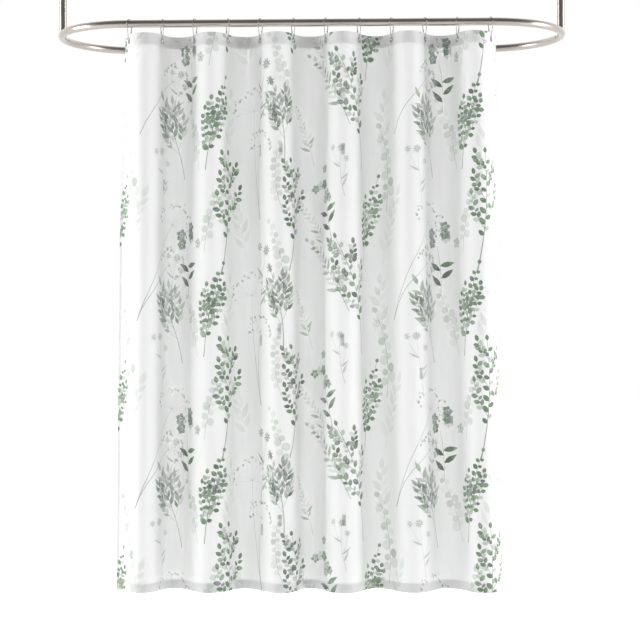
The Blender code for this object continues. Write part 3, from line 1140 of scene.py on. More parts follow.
    def bush(self) -> None:
        """An upright sprig of small rounded leaves in close pairs, with twigs at both sides."""
        path = self.curve((0.0, 0.0), 0.0, 0.27, self.dice.uniform(-0.3, 0.3), 6)
        self.stem(path, 0.0024)
        twigs = ((-1.0, 0.20, 0.12), (1.0, 0.26, 0.13), (-1.0, 0.42, 0.09), (1.0, 0.5, 0.08))
        for side, share, reach in twigs:
            spot, turn = self.along(path, share)
            twig = self.curve(spot, turn + side * 0.50, reach, -side * 0.45, 4)
            self.stem(twig, 0.0014)
            self.pairs(twig, 5, lambda at: (0.0165, 0.0115), 0.95, Outline.OVAL, 0.2, 0.22)
        self.pairs(
            path, 10, lambda at: (0.024 - 0.010 * at, 0.0165 - 0.006 * at), 1.0, Outline.OVAL, 0.3, 0.22
        )

    def umbel(self) -> None:
        """Tall stems with round heads of small dots on rays."""
        bends = (self.dice.uniform(-0.3, 0.3), self.dice.uniform(0.35, 0.7))
        for reach, bend, across in zip((0.30, 0.20), bends, (0.052, 0.040)):
            path = self.curve((0.0, 0.0), 0.0, reach, bend, 5)
            self.stem(path, 0.0022, 1.5)
            spot, turn = self.along(path, 1.0)
            for i in range(9):
                lean = turn + 1.75 * (i / 4.0 - 1.0)
                long = across * self.dice.uniform(0.75, 1.1)
                ray = self.curve(spot, lean, long, -0.2 * (i / 4.0 - 1.0), 2)
                self.stem(ray, 0.0010, 0.9)
                for _ in range(4):
                    a = lean + self.dice.uniform(-1.6, 1.6)
                    r = self.dice.uniform(0.002, 0.013)
                    size = self.dice.uniform(0.0050, 0.0088)
                    spot_k = (ray[-1][0] + r * math.cos(a), ray[-1][1] + r * math.sin(a))
                    self.leaf(spot_k, a, size, size, Outline.ROUND, self.dice.uniform(0.5, 1.4), 3)

    def daisy(self) -> None:
        """Thin forked stems with small open flowers."""
        path = self.curve((0.0, 0.0), 0.0, 0.20, self.dice.uniform(-0.5, 0.5), 5)
        self.stem(path, 0.0018, 1.3)
        self.flower(path[-1], 0.036, 9, Outline.LANCE)
        for share, side in ((0.35, 1.0), (0.6, -1.0)):
            spot, turn = self.along(path, share)
            fork = self.curve(spot, turn + side * 0.6, 0.090, -side * 0.4, 3)
            self.stem(fork, 0.0014, 1.3)
            self.flower(fork[-1], 0.030, 7, Outline.LANCE)
            self.leaf(spot, turn + side * 1.0, 0.044, 0.0080, Outline.LANCE, 0.9)
        self.leaf(path[1], 0.7, 0.050, 0.009, Outline.LANCE, 0.8)

    def coin(self) -> None:
        """A sprig of pale round leaves."""
        path = self.curve((0.0, 0.0), 0.0, 0.27, self.dice.uniform(-0.7, 0.7), 6)
        self.stem(path, 0.0022, 1.7)
        self.pairs(
            path, 7, lambda at: (0.038 - 0.018 * at, 0.034 - 0.016 * at), 0.95, Outline.ROUND, 0.5
        )

    def wash(self) -> None:
        """Large pale leaves behind the rest."""
        path = self.curve((0.0, 0.0), 0.0, 0.25, self.dice.uniform(-0.5, 0.5), 4)
        self.stem(path, 0.0026)
        self.pairs(path, 5, lambda at: (0.070 - 0.020 * at, 0.022), 0.6, Outline.LANCE, 0.5)

    def blossom(self) -> None:
        """A loose round cluster of small soft flowers over a forked stem."""
        path = self.curve((-0.06, 0.0), 0.0, 0.14, self.dice.uniform(-0.4, 0.4), 4)
        self.stem(path, 0.0022, 1.2)
        for _ in range(8):
            a, r = self.dice.uniform(0.0, 6.28), 0.056 * math.sqrt(self.dice.random())
            centre = (0.11 + r * math.cos(a), 0.9 * r * math.sin(a))
            size, ink = self.dice.uniform(0.024, 0.036), self.dice.uniform(0.55, 1.35)
            self.flower(centre, size, 5, Outline.OVAL, ink)
        for share, turn in ((0.2, -0.9), (0.35, 0.9), (0.5, -1.1), (0.6, 1.3)):
            spot, _ = self.along(path, share)
            self.leaf(spot, turn, 0.045, 0.0150, Outline.LANCE, 1.5)

    def fern(self) -> None:
        """A stem with narrow leaves, which get shorter to the tip."""
        path = self.curve((0.0, 0.0), 0.0, 0.26, self.dice.uniform(-0.6, 0.6), 6)
        self.stem(path, 0.0022)
        self.pairs(
            path, 9, lambda at: (0.046 * (1.15 - at) + 0.008, 0.0105), 0.8, Outline.LANCE, 0.5, 0.25
        )


class Plant(Enum):
    """The plants of the print, each a plain drawing of its kind."""

    WILLOW = "willow"
    FEATHER = "feather"
    BUSH = "bush"
    UMBEL = "umbel"
    DAISY = "daisy"
    COIN = "coin"
    WASH = "wash"
    BLOSSOM = "blossom"
    FERN = "fern"

    def draw(self, dice: random.Random) -> Sprig:
        """Draws one plant.

        Args:
            dice: The source of its small differences.

        Returns:
            The drawing.
        """
        ink, green = {
            Plant.WILLOW: (0.88, 0.62),
            Plant.FEATHER: (0.66, 0.45),
            Plant.BUSH: (0.90, 0.85),
            Plant.UMBEL: (0.42, 0.20),
            Plant.DAISY: (0.55, 0.20),
            Plant.COIN: (0.30, 0.50),
            Plant.WASH: (0.20, 0.55),
            Plant.BLOSSOM: (0.62, 0.50),
            Plant.FERN: (0.55, 0.75),
        }[self]
        sprig = Sprig(dice, ink * dice.uniform(0.85, 1.1), green * dice.uniform(0.7, 1.1))
        getattr(sprig, self.value)()
        return sprig


@dataclass
class BotanicalPrint:
    """The print: one repeat of scattered plants, laid over the cloth again and again."""

    repeat_width: float = 1.22
    repeat_height: float = 0.61
    shift: Point = (0.37, 0.22)
    columns: int = 7
    rows: int = 2
    seed: int = 11
    pale_size: Point = (0.75, 0.95)
    dark_size: Point = (1.05, 1.22)
    pale_ink: float = 0.8
    dark_ink: float = 1.05
    plant_middle: float = 0.15

    def blots(self, width: float, height: float) -> list[Blot]:
        """All the printed shapes, from the back ones to the front ones.

        Args:
            width: The cloth's flat width.
            height: The cloth's flat height.

        Returns:
            The shapes, in flat coordinates.
        """
        tile = self._tile()
        made = []
        for a in range(-1, math.ceil(width / self.repeat_width) + 1):
            for b in range(-1, math.ceil(height / self.repeat_height) + 1):
                x, y = a * self.repeat_width + self.shift[0], b * self.repeat_height + self.shift[1]
                for order, blot in tile:
                    made.append((order, blot.moved(lambda p: (p[0] + x, p[1] + y))))
        made.sort(key=lambda pair: pair[0])
        return [blot for _, blot in made]

    def _tile(self) -> list[tuple[int, Blot]]:
        """Draws one repeat.

        Returns:
            Each blot with its place in the order of printing.
        """
        dice = random.Random(self.seed)
        main = [
            Plant.BUSH, Plant.UMBEL, Plant.FEATHER, Plant.BLOSSOM, Plant.WILLOW, Plant.COIN, Plant.FEATHER,
            Plant.WILLOW, Plant.DAISY, Plant.WILLOW, Plant.FERN, Plant.BUSH, Plant.UMBEL, Plant.BLOSSOM,
        ]
        layers = (
            (0.5, [Plant.WASH, Plant.COIN, Plant.FERN, Plant.DAISY, Plant.WASH, Plant.DAISY, Plant.COIN]),
            (0.0, main),
        )
        made: list[tuple[int, Blot]] = []
        for layer, (offset, kinds) in enumerate(layers):
            for r in range(self.rows):
                for c in range(self.columns):
                    kind = kinds[(r * self.columns + c) % len(kinds)]
                    across = c + 0.5 + offset + 0.36 * r + dice.uniform(-0.12, 0.12)
                    x = across * self.repeat_width / self.columns
                    down = r + 0.25 + 0.5 * (c % 2) + dice.uniform(-0.10, 0.10)
                    y = down * self.repeat_height / self.rows
                    lean = dice.uniform(-0.40, 0.40)
                    ink = self.pale_ink if layer == 0 else self.dark_ink
                    size = dice.uniform(*(self.pale_size if layer == 0 else self.dark_size))
                    for blot in self._grown(kind, dice, (x, y), lean, size):
                        blot.ink *= ink
                        made.append((layer, blot))
        return made

    def _grown(self, kind: Plant, dice: random.Random, root: Point, lean: float, size: float) -> list[Blot]:
        """One plant in place. It grows up, which is towards smaller depths, with a lean.

        Args:
            kind: The plant.
            dice: The source of its small differences.
            root: The middle of its place.
            lean: Its lean from upright.
            size: Its size, as a share of its drawing.

        Returns:
            Its blots.
        """
        c, s = math.sin(lean) * size, -math.cos(lean) * size

        def place(p: Point) -> Point:
            """A point of the drawing on the cloth."""
            x, y = p[0] - self.plant_middle, p[1]
            return (root[0] + c * x - s * y, root[1] + s * x + c * y)

        return [blot.moved(place) for blot in kind.draw(dice).blots]


# Cloth meshes


DECIMALS = 6  # of the grid that the flat meshes' points sit on
GRID = 10.0**-DECIMALS
SLIVER = 4e-9  # the smallest area that is cut out
MERGE = 2e-7  # what the cutting takes for one point


def even_steps(low: float, high: float, size: float) -> list[float]:
    """Even steps of about one size."""
    count = max(1, round((high - low) / size))
    return [round(low + (high - low) * i / count, DECIMALS) for i in range(count + 1)]


def clipped(outline: list[Point], axis: int, low: float, high: float) -> list[Point]:
    """The part of an outline between two lines.

    Args:
        outline: The outline.
        axis: 0 for lines across the cloth, 1 for lines down it.
        low: The first line's place.
        high: The second line's place.

    Returns:
        The clipped outline, empty where nothing is left.
    """
    for sign, limit in ((1.0, low), (-1.0, high)):
        kept: list[Point] = []
        for i, here in enumerate(outline):
            before = outline[i - 1]
            inside, was = sign * (here[axis] - limit) >= 0.0, sign * (before[axis] - limit) >= 0.0
            if inside != was:
                share = (limit - before[axis]) / (here[axis] - before[axis])
                other = before[1 - axis] + share * (here[1 - axis] - before[1 - axis])
                kept.append((limit, other) if axis == 0 else (other, limit))
            if inside:
                kept.append(here)
        outline = kept
        if len(outline) < 3:
            return []
    return outline


@dataclass
class FlatMesh:
    """Triangles and quads over a piece of the flat cloth, cut along the outlines printed on it."""

    columns: list[float]
    rows: list[float]
    holes: list[Hole]
    hole_sides: int = 28
    clearance: float = 0.002
    points: list[Point] = field(default_factory=list)
    faces: list[tuple[int, ...]] = field(default_factory=list)
    inks: list[list[Blot]] = field(default_factory=list)

    def __post_init__(self) -> None:
        """Starts the tables of shared points and of points on the cells' edges."""
        self.numbers: dict[tuple[int, int], int] = {}
        self.crossings: dict[tuple[int, int, int], set[float]] = defaultdict(set)

    def number(self, p: Sequence[float]) -> int:
        """A point's number, the same for points in the same place.

        Args:
            p: The point.

        Returns:
            Its number in the mesh.
        """
        key = (round(p[0] * 10**DECIMALS), round(p[1] * 10**DECIMALS))
        if key not in self.numbers:
            self.numbers[key] = len(self.points)
            self.points.append((float(p[0]), float(p[1])))
        return self.numbers[key]

    def build(self, blots: Sequence[Blot]) -> FlatMesh:
        """Fills the mesh.

        Args:
            blots: The printed shapes, back to front.

        Returns:
            The mesh itself.
        """
        cells: dict[tuple[int, int], list[tuple[list[Point], Blot | None]]] = defaultdict(list)
        for blot in blots:
            if not any(self._near(blot, hole) for hole in self.holes):
                self._sort(blot.outline, blot, cells)
        for x, y, radius in self.holes:
            angles = turns(self.hole_sides, 0.5)
            self._sort([(x + radius * math.cos(a), y + radius * math.sin(a)) for a in angles], None, cells)
        for r in range(len(self.rows) - 1):
            for c in range(len(self.columns) - 1):
                ring = self._ring(c, r)
                if (c, r) in cells:
                    self._cut(ring, cells[c, r])
                else:
                    self.faces.append(tuple(self.number(p) for p in ring))
                    self.inks.append([])
        return self

    def _near(self, blot: Blot, hole: Hole) -> bool:
        """Whether a blot comes near a hole.

        Args:
            blot: The blot.
            hole: The hole.

        Returns:
            Whether their boxes come closer than the holes' clearance.
        """
        reach = hole[2] + self.clearance
        spans = (([p[axis] for p in blot.outline], hole[axis]) for axis in (0, 1))
        return all(min(values) < middle + reach and max(values) > middle - reach for values, middle in spans)

    def _sort(self, outline: list[Point], blot: Blot | None, cells: dict) -> None:
        """Shares an outline out among the cells it covers.

        Args:
            outline: The outline.
            blot: What is printed there, or None for a hole.
            cells: The outlines of each cell, which this adds to.
        """
        xs, ys = [p[0] for p in outline], [p[1] for p in outline]
        first, last = np.searchsorted(self.columns, (min(xs), max(xs)))
        top, bottom = np.searchsorted(self.rows, (min(ys), max(ys)))
        for c in range(max(first - 1, 0), min(last, len(self.columns) - 1)):
            strip = clipped(outline, 0, self.columns[c], self.columns[c + 1])
            if not strip:
                continue
            for r in range(max(top - 1, 0), min(bottom, len(self.rows) - 1)):
                part = self._snapped(clipped(strip, 1, self.rows[r], self.rows[r + 1]), c, r)
                size = self._area(part)
                if abs(size) > SLIVER:
                    cells[c, r].append((part if size > 0.0 else part[::-1], blot))

    def _snapped(self, outline: list[Point], c: int, r: int) -> list[Point]:
        """Rounds an outline's points in one cell and notes those on the cell's edges.

        Args:
            outline: The outline.
            c: The cell's column.
            r: The cell's row.

        Returns:
            The rounded outline.
        """
        kept: list[Point] = []
        for x, y in outline:
            on_column = [k for k in (c, c + 1) if abs(x - self.columns[k]) < GRID]
            on_row = [k for k in (r, r + 1) if abs(y - self.rows[k]) < GRID]
            x = self.columns[on_column[0]] if on_column else round(x, DECIMALS)
            y = self.rows[on_row[0]] if on_row else round(y, DECIMALS)
            if on_column and not on_row:
                self.crossings[0, on_column[0], r].add(y)
            if on_row and not on_column:
                self.crossings[1, c, on_row[0]].add(x)
            if not kept or kept[-1] != (x, y):
                kept.append((x, y))
        return kept

    def _ring(self, c: int, r: int) -> list[Point]:
        """A cell's corners with every point on its edges, in order.

        Args:
            c: The cell's column.
            r: The cell's row.

        Returns:
            The points.
        """
        x0, x1, y0, y1 = self.columns[c], self.columns[c + 1], self.rows[r], self.rows[r + 1]
        left, right = sorted(self.crossings[0, c, r]), sorted(self.crossings[0, c + 1, r], reverse=True)
        top, bottom = sorted(self.crossings[1, c, r], reverse=True), sorted(self.crossings[1, c, r + 1])
        ring = [(x0, y0), *((x0, y) for y in left), (x0, y1), *((x, y1) for x in bottom)]
        return [*ring, (x1, y1), *((x1, y) for y in right), (x1, y0), *((x, y0) for x in top)]

    def _area(self, outline: Sequence[Point]) -> float:
        """An outline's area, negative where it turns the other way."""
        pairs = zip(outline, [*outline[1:], *outline[:1]])
        return sum(a[0] * b[1] - b[0] * a[1] for a, b in pairs) / 2.0

    def _cut(self, ring: list[Point], parts: list[tuple[list[Point], Blot | None]]) -> None:
        """Cuts one cell along the outlines in it.

        Args:
            ring: The cell's outline.
            parts: The outlines and what they are.
        """
        corners = [Vector(p) for p in reversed(ring)]
        outlines = [list(range(len(ring)))]
        for part, _ in parts:
            outlines.append(list(range(len(corners), len(corners) + len(part))))
            corners.extend(Vector(p) for p in part)
        points, _, faces, _, _, sources = delaunay_2d_cdt(corners, [], outlines, 1, MERGE, True)
        numbers = [self.number(p) for p in points]
        for face, source in zip(faces, sources):
            over = [parts[i - 1][1] for i in sorted(set(source)) if i > 0]
            triangle = tuple(dict.fromkeys(numbers[i] for i in reversed(face)))
            if None in over or len(triangle) < 3 or 0 not in source:
                continue
            self.faces.append(triangle)
            self.inks.append([blot for blot in over if blot])

    def match(self, other: FlatMesh) -> None:
        """Adds the points on another mesh's outer edges to this one's, so that the two can be joined.

        Args:
            other: The mesh with the same outline.
        """
        ends = [other.points[a] for a, _ in other.rim()]
        for axis, lines in ((0, self.columns), (1, self.rows)):
            for limit in (lines[0], lines[-1]):
                extra = sorted({p for p in ends if abs(p[axis] - limit) < GRID}, key=lambda p: p[1 - axis])
                for k, face in enumerate(self.faces):
                    wide = self._widened(face, axis, limit, extra)
                    if len(wide) > len(face):
                        self.faces[k] = tuple(dict.fromkeys(wide))

    def _widened(self, face: tuple[int, ...], axis: int, limit: float, extra: list[Point]) -> list[int]:
        """A face with further points on its edges along one outer line.

        Args:
            face: The face.
            axis: 0 for a line across the cloth, 1 for a line down it.
            limit: The line's place.
            extra: The points on the line, in order.

        Returns:
            The numbers of the face's points.
        """
        places = [p[1 - axis] for p in extra]
        wide: list[int] = []
        for a, b in zip(face, face[1:] + face[:1]):
            wide.append(a)
            p, q = self.points[a], self.points[b]
            if abs(p[axis] - limit) > GRID or abs(q[axis] - limit) > GRID:
                continue
            first, last = sorted((p[1 - axis], q[1 - axis]))
            start, end = np.searchsorted(places, (first + GRID / 2.0, last - GRID / 2.0))
            run = extra[start:end]
            wide += [self.number(e) for e in (run if q[1 - axis] > p[1 - axis] else reversed(run))]
        return wide

    def _outer(self, number: int) -> bool:
        """Whether a point is on the outline or on the edge of a hole.

        Args:
            number: The point's number.

        Returns:
            Whether it is.
        """
        x, y = self.points[number]
        ends = (x - self.columns[0], self.columns[-1] - x, y - self.rows[0], self.rows[-1] - y)
        in_holes = (math.hypot(x - a, y - b) < radius + GRID for a, b, radius in self.holes)
        return min(ends) < GRID or any(in_holes)

    def rim(self) -> list[tuple[int, int]]:
        """Finds the edges that only one face has.

        Returns:
            The edges, in that face's direction.
        """
        seen: dict[tuple[int, int], tuple[int, int] | None] = {}
        for face in self.faces:
            for a, b in zip(face, face[1:] + face[:1]):
                key = (min(a, b), max(a, b))
                seen[key] = None if key in seen else (a, b)
        return [edge for edge in seen.values() if edge and self._outer(edge[0]) and self._outer(edge[1])]


@dataclass
class Layer:
    """One layer of cloth as a thin closed solid."""

    cloth: HungCloth
    finish: Material
    thickness: float = 0.0008

    def make(self, name: str, flat: FlatMesh, middle: float, plain_rear: bool) -> Object:
        """Builds the layer's mesh.

        Args:
            name: The object's name.
            flat: Its flat mesh.
            middle: The height of its middle above the cloth's own surface, towards the rear.
            plain_rear: Whether its rear face is unprinted.

        Returns:
            The object.
        """
        rear_flat = flat
        if plain_rear:
            rear_flat = FlatMesh(flat.columns, flat.rows, flat.holes).build([])
            rear_flat.match(flat)
        spots, rear_spots = np.array(flat.points), np.array(rear_flat.points)
        half = self.thickness / 2.0
        front = self.cloth.place(spots[:, 0], spots[:, 1], np.full(len(spots), middle - half))
        rear = self.cloth.place(rear_spots[:, 0], rear_spots[:, 1], np.full(len(rear_spots), middle + half))
        count = len(spots)
        rim = flat.rim()
        twin = {a: rear_flat.number(flat.points[a]) + count for edge in rim for a in edge}
        if len(rear_flat.points) != len(rear_spots):
            raise ValueError(f"{name}: the rear face misses points of the rim")
        faces = list(flat.faces)
        faces += [tuple(i + count for i in face[::-1]) for face in rear_flat.faces]
        faces += [(b, a, twin[a], twin[b]) for a, b in rim]
        places, both = np.vstack([front, rear]), np.vstack([spots, rear_spots])
        made = make_object(name, places, faces, both, self.finish)
        normals = self.cloth.normal(both[:, 0], both[:, 1])
        normals[:count] *= -1.0
        made.data.normals_split_custom_set_from_vertices([tuple(v) for v in normals])
        self._ink(made.data, flat, spots, 1 if plain_rear else 2)
        return made

    def _ink(self, mesh: bpy.types.Mesh, flat: FlatMesh, spots: np.ndarray, sides: int) -> None:
        """Writes the print as a corner colour: ink, green, place along the leaf, place across it.

        Args:
            mesh: The layer's mesh.
            flat: Its flat mesh.
            spots: Its flat points.
            sides: 1 to print the front only, 2 for both faces.
        """
        values = np.zeros((len(mesh.loops), 4), np.float32)
        corner, table, where = 0, [], []
        for side in range(sides):
            for face, over in zip(flat.faces, flat.inks):
                if over:
                    top = over[-1]
                    clear = math.prod(1.0 - 0.9 * blot.ink for blot in over)
                    row = (*top.base, *top.tip, top.half_width, 1.0 - clear, top.green)
                    for number in face if side == 0 else face[::-1]:
                        where.append(corner)
                        table.append((*row, *spots[number]))
                        corner += 1
                else:
                    corner += len(face)
        if table:
            values[np.array(where)] = self._shades(np.array(table))
        layer = mesh.attributes.new("print", "FLOAT_COLOR", "CORNER")
        layer.data.foreach_set("color", values.ravel())

    def _shades(self, data: np.ndarray) -> np.ndarray:
        """Works out how corners are inked from the blots that they lie in.

        Args:
            data: For each corner its blot's base, tip, half width, ink and green, and its own place.

        Returns:
            For each corner its ink, green, place along the leaf and place across it.
        """
        base, tip, half_width, ink, green, spot = np.split(data, (2, 4, 5, 6, 7), axis=1)
        line = tip - base
        length = np.maximum(np.linalg.norm(line, axis=1), GRID)
        line /= length[:, None]
        reach = spot - base
        along = np.clip(np.sum(reach * line, axis=1) / length, 0.0, 1.0)
        aside = np.abs(reach[:, 0] * line[:, 1] - reach[:, 1] * line[:, 0])
        width = half_width[:, 0] * np.maximum(np.sin(np.pi * np.clip(along, 0.02, 0.98)) ** 0.8, 0.12)
        across = np.clip(aside / width, 0.0, 1.0)
        return np.stack([ink[:, 0], green[:, 0], along, across], 1)


@dataclass
class Curtain:
    """The cloth: a printed panel, its turned hems, and their stitching."""

    cloth: HungCloth
    fabric: Material
    thread: Material
    drawing: BotanicalPrint
    layer_step: float = 0.0012
    bottom_hem: float = 0.030
    side_hem: float = 0.012
    side_hem_gap: float = 0.0003
    hole_radius: float = 0.0071
    cell_width: float = 0.0120
    cell_height: float = 0.0366
    side_cell_width: float = 0.006
    side_cell_height: float = 0.0183
    top_cell_height: float = 0.0135
    bottom_cell_height: float = 0.015
    stitch_pitch: float = 0.0034
    stitch_length: float = 0.0024
    stitch_inset: float = 0.003
    stitch_end: float = 0.002
    stitch_lift: float = 0.0004
    thread_radius: float = 0.00024
    body: str = "curtain"
    glide: str = "hook_12_glide"
    keep: float = 0.3

    @property
    def foot(self) -> float:
        """The depth at which the bottom hem starts."""
        return self.cloth.height - self.bottom_hem

    def make(self) -> list[Object]:
        """Builds the cloth's pieces.

        Returns:
            The pieces, the panel first.
        """
        c = self.cloth
        made = self._layers()
        nodes = ("curtain_panel", "top_hem", "bottom_hem", "side_hem_left", "side_hem_right")
        for piece, node in zip(made, nodes):
            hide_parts(node)
        made.append(self._stitches())
        made[-1]
        start = (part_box("top_hem")[0].x, c.line, c.top)
        for piece in made:
            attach(piece, self.body)
            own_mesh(piece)
        made[0]
        made[1:]
        return made

    def _layers(self) -> list[Object]:
        """Builds the panel, which is printed on its front, and the hems behind it.

        Returns:
            The panel, the top hem, the bottom hem and the side hems.
        """
        c = self.cloth
        blots = self.drawing.blots(c.width, c.height)
        log.info("print: %d shapes", len(blots))
        behind, right = self.layer_step / 2.0, c.width - self.side_hem
        left_hem = even_steps(0.0, self.side_hem, self.side_cell_width)
        right_hem = even_steps(right, c.width, self.side_cell_width)
        across = left_hem[:-1] + even_steps(self.side_hem, right, self.cell_width) + right_hem[1:]
        down = even_steps(0.0, c.height, self.cell_height)
        top = even_steps(0.0, c.top_hem, self.top_cell_height)
        bottom = even_steps(self.foot, c.height, self.bottom_cell_height)
        side_top, side_foot = c.top_hem + self.side_hem_gap, self.foot - self.side_hem_gap
        side = even_steps(side_top, side_foot, self.side_cell_height)
        holes = [(c.side_margin + i * c.spacing, c.top_margin, self.hole_radius) for i in range(c.eyelets)]
        layer = Layer(c, self.fabric)
        made = []
        for name, flat, middle in (
            ("curtain_cloth", FlatMesh(across, down, holes), -behind),
            ("top_hem_cloth", FlatMesh(across, top, holes), behind),
            ("bottom_hem_cloth", FlatMesh(across, bottom, []), behind),
            ("side_hem_left_cloth", FlatMesh(left_hem, side, []), behind),
            ("side_hem_right_cloth", FlatMesh(right_hem, side, []), behind),
        ):
            made.append(layer.make(name, flat.build(blots), middle, plain_rear=middle < 0.0))
            log.info("%s: %d faces", name, len(made[-1].data.polygons))
        return made

    def _stitches(self) -> Object:
        """Every stitch of the hems, on the front and on the rear.

        Returns:
            The object.
        """
        c = self.cloth
        foot, inset, end = self.foot, self.stitch_inset, self.stitch_end
        left, right = self.side_hem - inset, c.width - self.side_hem + inset
        lines = [
            ((end, c.top_hem - inset), (c.width - end, c.top_hem - inset)),
            ((end, foot + inset), (c.width - end, foot + inset)),
            ((left, c.top_hem), (left, foot)),
            ((right, c.top_hem), (right, foot)),
        ]
        outer = self.layer_step / 2.0 + self.stitch_lift
        spots, faces = [], []
        for first, last in lines:
            size = math.dist(first, last)
            way = ((last[0] - first[0]) / size, (last[1] - first[1]) / size)
            for i in range(int(size / self.stitch_pitch)):
                middle = (i + 0.5) * self.stitch_pitch
                for side in (-1.0, 1.0):
                    loops = self._stitch_faces(len(spots), side * (way[0] + way[1]) < 0)
                    spots += self._stitch(first, way, middle, side * outer, side)
                    faces += loops
        grid = np.array(spots)
        points = c.place(grid[:, 0], grid[:, 1], grid[:, 2])
        return make_object("hem_stitches", points, faces, grid[:, :2], self.thread)

    def _stitch(self, start: Point, way: Point, middle: float, face: float, side: float) -> list[Hole]:
        """The points of one stitch: a short rounded thread that dips into the cloth at both ends.

        Args:
            start: The start of its line.
            way: The line's direction.
            middle: The stitch's middle along the line.
            face: The height of the cloth's face.
            side: -1 on the front, 1 on the rear.

        Returns:
            Flat places and heights.
        """
        r, half = self.thread_radius, self.stitch_length / 2.0

        def spot(along: float, aside: float, lift: float) -> Hole:
            """A point of the stitch.

            Args:
                along: Its place along the line, from the stitch's middle.
                aside: Its place to the line's side.
                lift: Its height over the cloth's face.

            Returns:
                Its flat place and height.
            """
            a = middle + along
            x, y = start[0] + way[0] * a - way[1] * aside, start[1] + way[1] * a + way[0] * aside
            return (x, y, face + side * lift)

        section = ((r, 0.1 * r), (0.0, 1.3 * r), (-r, 0.1 * r), (0.0, -0.6 * r))
        rings = [spot(along, *corner) for along in (-0.55 * half, 0.55 * half) for corner in section]
        return [spot(-half, 0.0, -0.5 * r), *rings, spot(half, 0.0, -0.5 * r)]

    def _stitch_faces(self, first: int, forward: bool) -> list[tuple[int, ...]]:
        """The faces of one stitch.

        Args:
            first: The number of its first point.
            forward: Which way they turn.

        Returns:
            The faces.
        """
        faces = []
        for j in range(4):
            k = (j + 1) % 4
            for loop in ((0, 1 + k, 1 + j), (1 + j, 1 + k, 5 + k, 5 + j), (9, 5 + j, 5 + k)):
                faces.append(tuple(first + i for i in (loop if forward else loop[::-1])))
        return faces


# Hooks and eyelets


@dataclass(frozen=True)
class Loop:
    """The centre line of one hook: an arch over the rail, a small foot in the eyelet and two legs."""

    centre: Vector
    aside: Vector
    arch: float
    foot: float
    centres: float

    @property
    def lean(self) -> float:
        """The legs' angle to the vertical."""
        return math.asin((self.arch - self.foot) / self.centres)

    @property
    def foot_centre(self) -> Vector:
        """The middle of the foot's round."""
        return self.centre - self.centres * UP

    def on(self, middle: Vector, radius: float, angle: float) -> Vector:
        """A point at an angle round a point in the loop's plane."""
        return middle + radius * (math.cos(angle) * self.aside + math.sin(angle) * UP)


